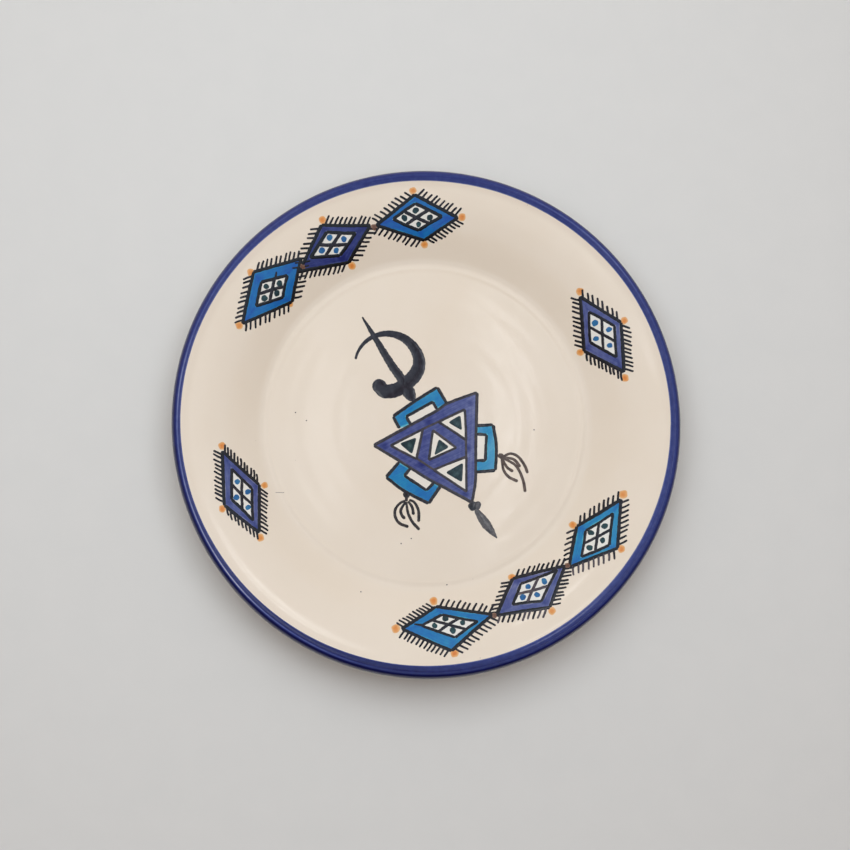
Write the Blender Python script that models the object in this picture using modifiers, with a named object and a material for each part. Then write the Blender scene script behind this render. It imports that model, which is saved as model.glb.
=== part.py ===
"""A hand-painted earthenware plate, 240 mm across, built in the layers its maker gave it.

The fired clay body carries four coats of glaze: the cream face, the cobalt band over the lip,
the cream back, and the coat inside the foot ring. The ring that the plate stands on is bare clay.
On the face lie the painted enamels: eight lozenges round the flange, and in the well a brooch
(a fibula) with its pin and ring, a triangular lattice, three brackets, two tassels and a drop.

Sizes below are in millimetres, and a shape is made at MM metres to the millimetre. The plate
rests on z = 0, its axis is the Z axis, and layers that lie on each other keep GAP between them.
"""

import math

import bmesh
import bpy
from mathutils import Vector

MM = 0.001
SEGMENTS = 64
GAP = 0.3
GLAZE = 0.4
ENAMEL = 0.4
MERGE = 0.00001

# The glazed surface, as (radius, slope in degrees) from the edge of the flat well to the crest.
WELL_HEIGHT = 9.5
FLANGE = (
    (76.0, 0.0),
    (78.0, 14.0),
    (80.5, 29.0),
    (87.0, 29.5),
    (93.0, 26.5),
    (100.0, 22.5),
    (107.0, 16.0),
    (111.5, 13.0),
    (113.3, 27.0),
    (115.4, 20.0),
    (117.2, 0.0),
)
BAND_INNER_RADIUS = 115.4
RIM_RADIUS = 120.0

# The lip is rounded over on an ellipse, down to the angle where the cobalt band ends.
LIP_HALF_HEIGHT = 4.0
LIP_ANGLES = (70.0, 45.0, 20.0, 0.0, -25.0, -50.0)
WALL = 5.0

# The underside from the flange down to the foot, as (radius, height), and the foot's own outline.
FOOT_SHOULDER = ((79.0, 4.9), (75.0, 4.1), (72.4, 3.4), (71.1, 2.2), (70.7, 1.2))
FOOT_BARE = ((70.5, 0.9), (69.7, 0.0), (65.1, 0.0), (64.4, 0.9))
FOOT_INSIDE = ((64.2, 1.2), (63.6, 3.1), (61.8, 4.5), (0.0, 4.5))

# Each lozenge: the azimuth (degrees) and radius of its middle, then its four corners as
# (along, outward) from that middle: leading, outer, trailing and inner, as they were painted.
LOZENGES = {
    "lozenge_east": ("cobalt", 27.0, 94.0, ((-20, 1), (1.5, 10), (21.5, -1), (-2.5, -10))),
    "lozenge_north": ("turquoise", 93.0, 97.0, ((-19, 0), (1.5, 11), (20, -2), (-3, -9))),
    "lozenge_north_northwest": ("cobalt", 117.5, 95.5, ((-18.5, 0.5), (1.5, 10.5), (19, -2), (-2, -9.5))),
    "lozenge_northwest": ("turquoise", 139.5, 97.0, ((-19, -0.5), (0, 11), (21, -0.5), (-2, -10))),
    "lozenge_west": ("cobalt", 201.5, 94.0, ((-21.5, 1.5), (2.5, 9.5), (20, -1.5), (-1, -9.5))),
    "lozenge_south": ("turquoise", 275.0, 95.5, ((-20.5, 0), (1.5, 12), (22.5, -3), (-3.5, -9))),
    "lozenge_south_southeast": ("cobalt", 301.5, 93.5, ((-19.5, 1), (3, 10), (20, -2.5), (-3.5, -8.5))),
    "lozenge_southeast": ("turquoise", 326.5, 96.0, ((-19, -2), (-0.5, 11), (20, 0.5), (-1, -9))),
}
WINDOW_SCALE = 0.58
CELL_SCALE = 0.78

# The brooch, drawn on the flat well as plan views (x, y). Its lattice is a triangle A, B, C.
LATTICE = ((-25.0, -10.0), (24.5, 15.5), (21.5, -37.0))
LATTICE_WINDOWS = (
    ((7.0, 1.5), (18.0, 6.5), (18.5, -6.0)),
    ((-15.5, -10.0), (-2.5, -4.0), (-5.0, -15.5)),
    ((4.0, -4.0), (12.5, -11.0), (2.0, -15.5)),
    ((5.5, -22.0), (18.5, -16.0), (19.0, -30.5)),
)
HEART_SCALE = 0.5
# A bracket stands on one side of the lattice: where it starts and ends along the side, how deep
# it is at each end, and the same for the slot inside it.
BRACKETS = {
    "fibula_bracket_top": (0, (14.5, 40.0), (8.0, 10.5), (20.5, 35.0), 4.5),
    "fibula_bracket_right": (1, (15.0, 37.5), (9.0, 11.0), (21.0, 32.0), 5.0),
    "fibula_bracket_bottom": (2, (17.0, 40.0), (11.0, 10.0), (21.5, 33.0), 5.0),
}
BRACKET_FOOT = 1.0

RING_CENTRE = (-18.5, 29.5)
RING_RADIUS = 14.0
RING_START = 175.0
RING_END = -115.0
RING_THIN = 0.6
RING_THICK = 6.0
RING_STEPS = 24
PIN = ((-31.0, 51.5), (-18.5, 32.0), (-10.5, 18.5), (-8.5, 15.5), (-6.8, 12.3))
PIN_WIDTHS = (0.5, 3.2, 4.4, 5.2, 3.6)

# A tassel: its knot, then the middle line of each strand; a drop: its middle line and widths.
TASSELS = {
    "fibula_tassel_bottom": (
        (-9.6, -34.6),
        (
            ((-9.8, -35.5), (-14.5, -39.5), (-15.2, -44.0), (-12.5, -47.8), (-8.3, -49.0)),
            ((-9.8, -35.5), (-12.0, -41.0), (-9.9, -45.5)),
            ((-9.6, -35.5), (-9.0, -43.0), (-3.2, -50.6)),
            ((-9.3, -35.5), (-6.6, -40.0), (-6.2, -43.5)),
            ((-9.2, -35.5), (-4.2, -39.5), (-3.4, -43.0), (-3.8, -46.8)),
        ),
    ),
    "fibula_tassel_right": (
        (35.6, -14.8),
        (
            ((36.5, -15.2), (40.5, -13.6), (44.2, -15.3), (47.3, -19.7), (48.5, -23.0)),
            ((36.5, -15.4), (41.8, -16.4), (45.0, -20.0)),
            ((36.4, -15.6), (42.7, -19.3), (46.1, -25.7), (47.3, -32.0)),
            ((36.2, -15.8), (38.6, -20.2), (41.6, -22.2)),
            ((36.0, -15.9), (36.9, -21.3), (39.3, -24.7), (43.8, -26.9)),
        ),
    ),
}
KNOT_RADIUS = 1.3
KNOT_POINTS = 10
STRAND_WIDTH = 1.2
DROP = ((23.0, -37.9), (23.6, -39.6), (24.4, -41.3), (27.5, -45.5), (30.5, -49.4), (33.5, -53.8))
DROP_WIDTHS = (3.0, 4.8, 2.6, 4.6, 4.0, 0.5)

COLOURS = {
    "bare_clay": ((0.72, 0.45, 0.32), 0.9),
    "cream_glaze": ((0.80, 0.71, 0.61), 0.12),
    "cobalt_band": ((0.03, 0.035, 0.26), 0.15),
    "cobalt": ((0.06, 0.08, 0.32), 0.25),
    "turquoise": ((0.01, 0.21, 0.50), 0.25),
    "outline_black": ((0.012, 0.010, 0.014), 0.3),
    "teal": ((0.02, 0.05, 0.06), 0.3),
}


def clear_scene():
    """Removes everything that the scene opened with."""
    for obj in list(bpy.data.objects):
        bpy.data.objects.remove(obj, do_unlink=True)


def new_collection(name):
    """A collection of this name, linked to the scene."""
    collection = bpy.data.collections.new(name)
    bpy.context.scene.collection.children.link(collection)
    return collection


def set_material(obj, finish):
    """Gives the object a Principled material of its own in one of the plate's finishes."""
    colour, roughness = COLOURS[finish]
    material = bpy.data.materials.new(obj.name)
    material.use_nodes = True
    shader = material.node_tree.nodes["Principled BSDF"]
    shader.inputs["Base Color"].default_value = (*colour, 1.0)
    shader.inputs["Roughness"].default_value = roughness
    shader.inputs["Metallic"].default_value = 0.0
    material.diffuse_color = (*colour, 1.0)
    obj.data.materials.clear()
    obj.data.materials.append(material)


# ---- the turned layers -------------------------------------------------------------------------


def face_line():
    """The glazed face, from the middle of the well to the crest of the lip."""
    points = [Vector((0.0, WELL_HEIGHT)), Vector((FLANGE[0][0], WELL_HEIGHT))]
    for (start, slope), (end, next_slope) in zip(FLANGE, FLANGE[1:]):
        rise = (end - start) * math.tan(math.radians((slope + next_slope) / 2))
        points.append(Vector((end, points[-1].y + rise)))
    return points


def lip_line(crest):
    """The rounded lip, from just past the crest to the underside."""
    half_width = RIM_RADIUS - crest.x
    middle = crest.y - LIP_HALF_HEIGHT
    points = []
    for angle in LIP_ANGLES:
        turn = math.radians(angle)
        radius = crest.x + half_width * math.cos(turn)
        points.append(Vector((radius, middle + LIP_HALF_HEIGHT * math.sin(turn))))
    return points


def underside_line(face):
    """The underside of the flange, a wall's thickness below the face, then the foot's shoulder."""
    flange = [point for point in face if 80.0 < point.x < 108.0]
    points = [point + inward * WALL for point, inward in zip(flange, inward_normals(flange))]
    return points[::-1] + [Vector(pair) for pair in FOOT_SHOULDER]


def inward_normals(points):
    """The direction into the material at each point of a line that runs down the outer side."""
    steps = [(after - before).normalized() for before, after in zip(points, points[1:])]
    steps = [steps[0]] + steps + [steps[-1]]
    normals = []
    for before, after in zip(steps, steps[1:]):
        mean = (before + after).normalized()
        reach = 1 / max(0.5, mean.dot(after))
        normals.append(Vector((mean.y, -mean.x)) * reach)
    return normals


def inset(points, depth):
    """The same line moved into the material by depth, its ends on the axis kept there."""
    moved = [point + inward * depth for point, inward in zip(points, inward_normals(points))]
    for point, original in zip(moved, points):
        if original.x == 0.0:
            point.x = 0.0
    return moved


def trimmed(points, at_start, at_end):
    """The line cut short by the given lengths at its two ends."""
    points = list(points)
    if at_start:
        points[0] = points[0] + (points[1] - points[0]).normalized() * at_start
    if at_end:
        points[-1] = points[-1] + (points[-2] - points[-1]).normalized() * at_end
    return points


def turned(name, points, collection, finish=None):
    """A profile (radius, height) turned about the Z axis. It is closed where it leaves the axis."""
    mesh = bpy.data.meshes.new(name)
    shape = bmesh.new()
    corners = [shape.verts.new((point.x * MM, 0.0, point.y * MM)) for point in points]
    edges = list(zip(corners, corners[1:]))
    if points[0].x > 0.0:
        edges.append((corners[-1], corners[0]))
    for edge in edges:
        shape.edges.new(edge)
    shape.to_mesh(mesh)
    shape.free()
    obj = bpy.data.objects.new(name, mesh)
    collection.objects.link(obj)
    screw = obj.modifiers.new("turn", "SCREW")
    screw.axis = "Z"
    screw.angle = math.tau
    screw.steps = SEGMENTS
    screw.render_steps = SEGMENTS
    screw.use_merge_vertices = True
    screw.merge_threshold = MERGE
    screw.use_smooth_shade = True
    if finish:
        set_material(obj, finish)
    return obj


def glaze_coat(name, line, collection, finish):
    """A coat of glaze whose outer surface is the given line."""
    return turned(name, line + inset(line, GLAZE)[::-1], collection, finish)


def make_turned_layers(parts, guides):
    """The clay body and its four coats, and the thin turned stock that the lozenges are cut from."""
    to_crest = face_line()
    lip = lip_line(to_crest[-1])
    face = [point for point in to_crest if point.x < BAND_INNER_RADIUS + GAP]
    band = [point for point in to_crest if point.x > BAND_INNER_RADIUS - GAP] + lip[:-1]
    back = lip[-2:] + underside_line(to_crest)
    base = [Vector(pair) for pair in FOOT_INSIDE]

    glaze_coat("face_glaze", trimmed(face, 0, GAP / 2), parts, "cream_glaze")
    glaze_coat("rim_band_glaze", trimmed(band, GAP / 2, GAP / 2), parts, "cobalt_band")
    glaze_coat("back_glaze", trimmed(back, GAP / 2, GAP / 2), parts, "cream_glaze")
    glaze_coat("foot_well_glaze", trimmed(base, GAP / 2, 0), parts, "cream_glaze")

    glazed = inset(face + band[1:] + back[1:], GLAZE + GAP)
    bare = [Vector(pair) for pair in FOOT_BARE]
    turned("clay_body", glazed + bare + inset(base, GLAZE + GAP), parts, "bare_clay")

    flange = [point for point in face if 80.0 < point.x < 112.0]
    stock = inset(flange, -GAP - ENAMEL) + inset(flange, -GAP)[::-1]
    return turned("lozenge_stock", stock, guides)


# ---- flat outlines -----------------------------------------------------------------------------


def middle_of(outline):
    """The mean of an outline's corners."""
    return tuple(sum(values) / len(outline) for values in zip(*outline))


def scaled(outline, factor):
    """An outline shrunk about its middle."""
    x, y = middle_of(outline)
    return [(x + (px - x) * factor, y + (py - y) * factor) for px, py in outline]


def ribbon(line, widths):
    """The outline of a brush stroke along a line, with a width at each of its points."""
    places = [Vector(point) for point in line]
    left = []
    right = []
    for index, (place, width) in enumerate(zip(places, widths)):
        ahead = places[min(index + 1, len(places) - 1)] - places[max(index - 1, 0)]
        side = Vector((-ahead.y, ahead.x)).normalized() * (width / 2)
        left.append(tuple(place + side))
        right.append(tuple(place - side))
    return left + right[::-1]


def circle(centre, radius, count):
    """A regular polygon that stands for a round spot."""
    turns = [math.tau * step / count for step in range(count)]
    return [(centre[0] + radius * math.cos(turn), centre[1] + radius * math.sin(turn)) for turn in turns]


def prism(name, outlines, low, high, collection):
    """An outline and its holes, raised from one height to another, as a welded mesh."""
    curve = bpy.data.curves.new(name, "CURVE")
    curve.dimensions = "2D"
    curve.fill_mode = "BOTH"
    curve.extrude = (high - low) / 2 * MM
    for outline in outlines:
        spline = curve.splines.new("POLY")
        spline.points.add(len(outline) - 1)
        for point, (x, y) in zip(spline.points, outline):
            point.co = (x * MM, y * MM, 0.0, 1.0)
        spline.use_cyclic_u = True
    drawn = bpy.data.objects.new(name + "_outline", curve)
    drawn.location.z = (low + high) / 2 * MM
    bpy.context.scene.collection.objects.link(drawn)
    bpy.context.view_layer.update()
    graph = bpy.context.evaluated_depsgraph_get()
    mesh = bpy.data.meshes.new_from_object(drawn.evaluated_get(graph))
    shape = bmesh.new()
    shape.from_mesh(mesh)
    bmesh.ops.remove_doubles(shape, verts=shape.verts, dist=MERGE)
    bmesh.ops.recalc_face_normals(shape, faces=shape.faces)
    shape.to_mesh(mesh)
    shape.free()
    obj = bpy.data.objects.new(name, mesh)
    obj.matrix_world = drawn.matrix_world
    collection.objects.link(obj)
    bpy.data.objects.remove(drawn, do_unlink=True)
    return obj


def boolean(obj, operation, other):
    """Adds a Boolean of the object with another."""
    modifier = obj.modifiers.new(operation.lower(), "BOOLEAN")
    modifier.operation = operation
    modifier.solver = "EXACT"
    modifier.object = other


def enamel(name, outlines, collection, finish):
    """A flat patch of enamel on the well, one layer's gap above the glaze."""
    low = WELL_HEIGHT + GAP
    obj = prism(name, outlines, low, low + ENAMEL, collection)
    if finish:
        set_material(obj, finish)
    return obj


def enamel_union(name, outlines, parts, guides, finish):
    """Overlapping strokes of enamel joined into one patch."""
    joined = enamel(name, outlines[:1], parts, finish)
    for number, outline in enumerate(outlines[1:], 1):
        stroke = enamel(f"{name}_stroke_{number}", [outline], guides, None)
        hide_guide(stroke)
        boolean(joined, "UNION", stroke)
    return joined


def hide_guide(obj):
    """Marks a helper that only shapes other objects."""
    obj.hide_render = True
    obj.display_type = "WIRE"


# ---- the painted motifs ------------------------------------------------------------------------


def on_plate(azimuth, radius, pairs):
    """Plan positions of (along, outward) pairs measured from a point on the flange."""
    turn = math.radians(azimuth)
    outward = Vector((math.cos(turn), math.sin(turn)))
    along = Vector((-outward.y, outward.x))
    return [tuple(outward * (radius + out) + along * side) for side, out in pairs]


def midpoint(first, second):
    """The point halfway between two."""
    return ((first[0] + second[0]) / 2, (first[1] + second[1]) / 2)


def window_cells(window):
    """The four cells that a cross leaves in a four-cornered window."""
    centre = middle_of(window)
    halves = [midpoint(window[k], window[(k + 1) % 4]) for k in range(4)]
    return [scaled((window[k], halves[k], centre, halves[k - 1]), CELL_SCALE) for k in range(4)]


def make_lozenges(parts, stock):
    """Eight lozenges, each a frame round a window with a cross, cut from the turned stock."""
    highest = 40.0
    for name, (finish, azimuth, radius, corners) in LOZENGES.items():
        outline = on_plate(azimuth, radius, corners)
        outlines = [outline] + window_cells(scaled(outline, WINDOW_SCALE))
        lozenge = prism(name, outlines, 0.0, highest, parts)
        boolean(lozenge, "INTERSECT", stock)
        set_material(lozenge, finish)


def bracket_outline(side, span, depths, slot, slot_depth):
    """A U-shaped bracket that opens towards its side of the lattice."""
    start = Vector(LATTICE[side])
    end = Vector(LATTICE[(side + 1) % 3])
    along = (end - start).normalized()
    outward = Vector((-along.y, along.x))
    pairs = (
        (span[0], BRACKET_FOOT),
        (span[0], depths[0]),
        (span[1], depths[1]),
        (span[1], BRACKET_FOOT),
        (slot[1], BRACKET_FOOT),
        (slot[1], slot_depth),
        (slot[0], slot_depth),
        (slot[0], BRACKET_FOOT),
    )
    return [tuple(start + along * run + outward * out) for run, out in pairs]


def ring_outline():
    """The open ring, a stroke that swells from a hair line to its full width by half way."""
    line = []
    widths = []
    for step in range(RING_STEPS + 1):
        part = step / RING_STEPS
        turn = math.radians(RING_START + (RING_END - RING_START) * part)
        across = RING_RADIUS * math.cos(turn)
        up = RING_RADIUS * math.sin(turn)
        line.append((RING_CENTRE[0] + across, RING_CENTRE[1] + up))
        swell = min(1.0, part / 0.6) ** 1.6
        widths.append(RING_THIN + (RING_THICK - RING_THIN) * swell)
    return ribbon(line, widths)


def make_fibula(parts, guides):
    """The brooch on the well."""
    pin = ribbon(PIN, PIN_WIDTHS)
    enamel_union("fibula_ring_and_pin", [ring_outline(), pin], parts, guides, "outline_black")
    enamel("fibula_lattice", [LATTICE, *LATTICE_WINDOWS], parts, "cobalt")
    for number, window in enumerate(LATTICE_WINDOWS, 1):
        enamel(f"fibula_heart_{number}", [scaled(window, HEART_SCALE)], parts, "teal")
    for name, shape in BRACKETS.items():
        enamel(name, [bracket_outline(*shape)], parts, "turquoise")
    for name, (knot, strands) in TASSELS.items():
        strokes = [circle(knot, KNOT_RADIUS, KNOT_POINTS)]
        strokes += [ribbon(strand, [STRAND_WIDTH] * len(strand)) for strand in strands]
        enamel_union(name, strokes, parts, guides, "outline_black")
    enamel("fibula_drop", [ribbon(DROP, DROP_WIDTHS)], parts, "outline_black")


def main():
    clear_scene()
    parts = new_collection("hand_painted_plate")
    guides = new_collection("guides")
    stock = make_turned_layers(parts, guides)
    hide_guide(stock)
    make_lozenges(parts, stock)
    make_fibula(parts, guides)


main()
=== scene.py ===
"""The looks of a hand-painted earthenware plate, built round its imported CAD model.

The plate's clay and its glaze coats are turned skins that follow the CAD surfaces. Every painted
patch, line and dot is a thin closed relief of enamel that lies on the face and follows its slope.
Plan positions and sizes are in millimetres, as the CAD has them, and a mesh is made at MM metres
to the millimetre.
"""

import math
import random

import bpy
import numpy as np
from mathutils import Matrix, Vector
from mathutils.geometry import delaunay_2d_cdt


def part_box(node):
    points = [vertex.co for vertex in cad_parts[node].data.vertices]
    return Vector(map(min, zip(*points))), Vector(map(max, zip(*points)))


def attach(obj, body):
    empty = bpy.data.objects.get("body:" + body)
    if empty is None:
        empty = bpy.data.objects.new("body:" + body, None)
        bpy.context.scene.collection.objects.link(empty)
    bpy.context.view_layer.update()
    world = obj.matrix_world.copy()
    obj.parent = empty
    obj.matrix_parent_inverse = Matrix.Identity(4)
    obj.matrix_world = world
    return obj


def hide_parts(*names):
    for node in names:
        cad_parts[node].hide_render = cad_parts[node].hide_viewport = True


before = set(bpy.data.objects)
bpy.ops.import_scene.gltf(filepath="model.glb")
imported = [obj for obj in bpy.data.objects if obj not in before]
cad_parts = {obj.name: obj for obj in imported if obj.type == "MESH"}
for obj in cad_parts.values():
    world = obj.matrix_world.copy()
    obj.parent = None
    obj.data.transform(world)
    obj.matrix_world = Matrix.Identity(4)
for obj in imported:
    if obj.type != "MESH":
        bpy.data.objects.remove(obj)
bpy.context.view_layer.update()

MM = 0.001

# ---- the plate's outer line ----------------------------------------------------------------------

# Where the CAD's layers are: the flat of the well, the top of the lip and the rim.
LAYER_GAP = 0.3
WELL_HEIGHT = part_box("fibula_lattice")[0].z / MM - LAYER_GAP
TOP_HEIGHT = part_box("rim_band_glaze")[1].z / MM
RIM_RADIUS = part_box("rim_band_glaze")[1].x / MM

# The slope of the flange in degrees at each radius, and of the lip's outer side just past its crest.
STATION_RADII = (76.0, 78.0, 80.5, 87.0, 93.0, 100.0, 107.0, 111.5, 113.3, 115.4, 117.2, 119.0)
STATION_SLOPES = (0.0, 14.0, 29.0, 29.5, 26.5, 22.5, 16.0, 13.0, 27.0, 20.0, 0.0, -20.0)
CREST_RADIUS = 117.2
SLOPE_STEP = 0.05
SLOPE_BLUR = 0.6
TOP_MARGIN = 0.12
RIM_MARGIN = 0.04
LIP_HALF_HEIGHT = 4.0
LIP_START = 90.0
LIP_END = -50.0
WALL = 5.0
UNDERSIDE_RADII = (107.0, 100.0, 93.0, 87.0)
FOOT_SHOULDER = ((79.0, 4.9), (75.0, 4.1), (72.4, 3.4), (71.1, 2.2), (70.7, 1.2))
FOOT_BARE = ((70.3, 0.5), (69.5, 0.0), (67.4, 0.0), (65.3, 0.0), (64.5, 0.5))
FOOT_INSIDE = ((64.2, 1.2), (63.6, 3.1), (61.8, 4.4), (58.0, 4.5), (40.0, 4.55), (20.0, 4.6), (0.0, 4.6))

# The hand of the thrower: a bead and a groove where the well ends, rings left by the fingers, and
# a lip that is not quite level.
BEAD = (75.2, 0.8, 0.16)
GROOVE = (77.4, 0.7, -0.10)
FINGER_RINGS = ((7.3, 0.006, 0.4), (11.7, 0.010, 2.1), (4.6, 0.002, 4.0))
LIP_WAVE = 0.07
LIP_WAVE_START = 98.0

SEGMENTS = 384
COAT = 0.4
CLAY_DEPTH = 0.45
GLAZE_WAVER = 0.25
FILM = 0.05
# Where a coat's edge shows: over how far it rounds off, and how far it sinks below the surface.
EDGE_ROUNDING = 0.35
EDGE_SINK = 0.02

# The cobalt band: the circle where it starts on the face, set off centre by the painter's hand,
# how far down the lip's outer side it runs, and how much its two edges waver.
BAND_RADIUS = 114.65
BAND_CENTRE = (-0.5, 0.3)
BAND_OVAL = 0.45
BAND_WAVER = 0.14
BAND_END_ANGLE = -24.0
BAND_END_WAVER = 0.35
BAND_FEATHER = 0.8
# Where the band is lighter over the crest, partly as it ran thin there and partly as a painted highlight,
# as (angle, how far to each side, how much lighter), and the angle where the band is darkest and the
# painted shade on the lip's outer side is deepest.
BAND_THIN_CREST_HIGHLIGHT = ((3.5, 0.75, 0.75), (0.79, 0.25, 0.42))
BAND_DARKEST_ANGLE = 4.45
# Where its inner edge is broad and pale, as (angle, how far to each side), and how much broader.
BAND_SOFT = (5.35, 0.5)
BAND_SOFT_REACH = 0.55
# Its paint: the load at its inner edge, what the feather adds, what is missing where the edge is
# pale, what the outer side of the lip adds as painted shade, and what is added round
# BAND_DARKEST_ANGLE to darken the whole band.
BAND_EDGE_LOAD = 0.25
BAND_FEATHER_GAIN = 0.78
BAND_SOFT_LOSS = 0.34
BAND_OUTER_SHADE = 0.3
BAND_DARKEST_GAIN = 0.42


def smoothstep(value, low, high):
    """0 below low, 1 above high, and a smooth rise between."""
    part = np.clip((np.asarray(value, float) - low) / (high - low), 0.0, 1.0)
    return part * part * (3.0 - 2.0 * part)


def bell(value, middle, width):
    """A bump of height 1 round a middle value."""
    return np.exp(-0.5 * ((np.asarray(value, float) - middle) / width) ** 2)


def ripple(angle, seed, orders=(2, 3, 5, 7)):
    """A smooth random wave round the plate, about -1 to 1, the same for the same seed."""
    draw = random.Random(seed)
    total = np.zeros_like(np.asarray(angle, float))
    for order in orders:
        total = total + np.sin(order * angle + draw.uniform(0.0, math.tau)) / math.sqrt(order)
    return total / sum(1.0 / math.sqrt(order) for order in orders)


def face_table():
    """The face's radii and heights, from the slopes smoothed and added up."""
    radii = np.arange(0.0, STATION_RADII[-1] + SLOPE_STEP, SLOPE_STEP)
    slopes = np.tan(np.radians(np.interp(radii, STATION_RADII, STATION_SLOPES)))
    reach = np.arange(-3.0 * SLOPE_BLUR, 3.0 * SLOPE_BLUR + SLOPE_STEP, SLOPE_STEP)
    kernel = np.exp(-0.5 * (reach / SLOPE_BLUR) ** 2)
    slopes = np.convolve(slopes, kernel / kernel.sum(), mode="same")
    rise = np.cumsum(slopes) * SLOPE_STEP
    keep = radii <= CREST_RADIUS
    rise = rise[keep] * (TOP_HEIGHT - TOP_MARGIN - WELL_HEIGHT) / rise[keep][-1]
    return radii[keep], WELL_HEIGHT + rise


FACE_RADII, FACE_HEIGHTS = face_table()


def catmull_rom(points, per_span=16):
    """A smooth curve through the points, as many short steps."""
    knots = np.array(points, float)
    padded = np.vstack((2 * knots[0] - knots[1], knots, 2 * knots[-1] - knots[-2]))
    part = np.linspace(0.0, 1.0, per_span, endpoint=False)[:, None]
    spans = []
    for a, b, c, d in zip(padded, padded[1:], padded[2:], padded[3:]):
        bend = (2 * a - 5 * b + 4 * c - d) * part**2 + (3 * b - a - 3 * c + d) * part**3
        spans.append(0.5 * (2 * b + (c - a) * part + bend))
    return np.vstack(spans + [knots[-1:]])


def arc_lengths(points):
    """How far along the line each of its points is."""
    steps = np.hypot(*np.diff(points, axis=0).T)
    return np.concatenate(([0.0], np.cumsum(steps)))


def at_lengths(points, lengths, wanted):
    """The places at the wanted distances along a line."""
    return np.stack([np.interp(wanted, lengths, points[:, axis]) for axis in range(2)], -1)


def direction(start, end):
    """The unit vector from one plan point to another."""
    return (end - start) / np.hypot(*(end - start))


def left_of(along):
    """The unit vector a quarter turn to the left of another."""
    return np.array([-along[1], along[0]])


def line_normals(points):
    """The unit vector to the left of a line at each of its points: outward, on the outer line."""
    along = np.gradient(points, axis=0)
    along /= np.hypot(*along.T)[:, None]
    return np.stack([-along[:, 1], along[:, 0]], -1)


def outer_line():
    """The whole outer line, from the middle of the well over the lip and under to the axis again."""
    face = np.stack([FACE_RADII, FACE_HEIGHTS], -1)
    crest = face[-1]
    half_width = RIM_RADIUS - RIM_MARGIN - crest[0]
    turns = np.radians(np.arange(LIP_START, LIP_END - 1.0, -2.0))
    lip = np.stack(
        [
            crest[0] + half_width * np.cos(turns),
            crest[1] - LIP_HALF_HEIGHT + LIP_HALF_HEIGHT * np.sin(turns),
        ],
        -1,
    )
    normals = line_normals(face)
    beneath = []
    for radius in UNDERSIDE_RADII:
        index = int(np.searchsorted(FACE_RADII, radius))
        beneath.append(tuple(face[index] - normals[index] * WALL))
    knots = [tuple(lip[-2]), tuple(lip[-1]), *beneath, *FOOT_SHOULDER, *FOOT_BARE, *FOOT_INSIDE]
    under = catmull_rom(knots)
    under[:, 1] = np.maximum(under[:, 1], 0.0)
    under = under[under[:, 0] >= 0.0]
    start = int(np.argmin(np.hypot(*(under - lip[-1]).T))) + 1
    line = np.vstack([face, lip[1:], under[start:]])
    lengths = arc_lengths(line)
    even = np.linspace(0.0, lengths[-1], int(lengths[-1] / 0.1))
    line = at_lengths(line, lengths, even)
    line[0, 0] = 0.0
    line[-1, 0] = 0.0
    return line


LINE = outer_line()
LINE_LENGTHS = arc_lengths(LINE)
LINE_NORMALS = line_normals(LINE)


def length_at(radius, height):
    """How far along the outer line its nearest point to this one is."""
    return float(LINE_LENGTHS[int(np.argmin(np.hypot(*(LINE - (radius, height)).T)))])


CREST_LENGTH = length_at(CREST_RADIUS, FACE_HEIGHTS[-1])


def finger_rings(radius, angle):
    """The low rings that the thrower's fingers leave."""
    total = np.zeros_like(np.asarray(radius, float) + np.asarray(angle, float))
    for number, (pitch, depth, phase) in enumerate(FINGER_RINGS):
        drift = 0.9 * ripple(angle, f"finger ring {number}")
        total = total + depth * np.sin(math.tau * radius / pitch + phase + drift)
    return total


def lip_wave(angle):
    """How far the lip lies below its highest point, all the way round."""
    return LIP_WAVE * (ripple(angle, "lip", (1, 2, 3)) - 1.0)


def face_relief(radius, angle):
    """What the thrower's hand adds to the height of the even face."""
    relief = BEAD[2] * bell(radius, *BEAD[:2]) + GROOVE[2] * bell(radius, *GROOVE[:2])
    relief = relief + finger_rings(radius, angle) * (1.0 - smoothstep(radius, 108.0, 113.0))
    return relief + lip_wave(angle) * smoothstep(radius, LIP_WAVE_START, CREST_RADIUS)


def face_height(points):
    """The height of the glazed face at plan positions (x, y)."""
    radius = np.hypot(points[:, 0], points[:, 1])
    angle = np.arctan2(points[:, 1], points[:, 0])
    return np.interp(radius, FACE_RADII, FACE_HEIGHTS) + face_relief(radius, angle)


# ---- meshes --------------------------------------------------------------------------------------

SHARP_ANGLE = math.radians(48)
# The angles of a turned skin's segments.
ANGLES = np.arange(SEGMENTS) * (math.tau / SEGMENTS)


def link_object(name, data):
    """A new object in the scene."""
    obj = bpy.data.objects.new(name, data)
    bpy.context.scene.collection.objects.link(obj)
    return obj


def new_object(name, vertices, faces, material):
    """A mesh object, in metres, that rides on the plate."""
    mesh = bpy.data.meshes.new(name)
    mesh.from_pydata((vertices * MM).tolist(), [], faces)
    mesh.polygons.foreach_set("use_smooth", [True] * len(mesh.polygons))
    mesh.set_sharp_from_angle(angle=SHARP_ANGLE)
    mesh.materials.append(material)
    obj = link_object(name, mesh)
    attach(obj, "root")
    return obj


def add_attribute(obj, name, values):
    """A number or a vector for each vertex, which the material reads by name."""
    values = np.asarray(values, np.float32)
    kind, field = ("FLOAT", "value") if values.ndim == 1 else ("FLOAT_VECTOR", "vector")
    attribute = obj.data.attributes.new(name, kind, "POINT")
    attribute.data.foreach_set(field, values.ravel())


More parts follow.
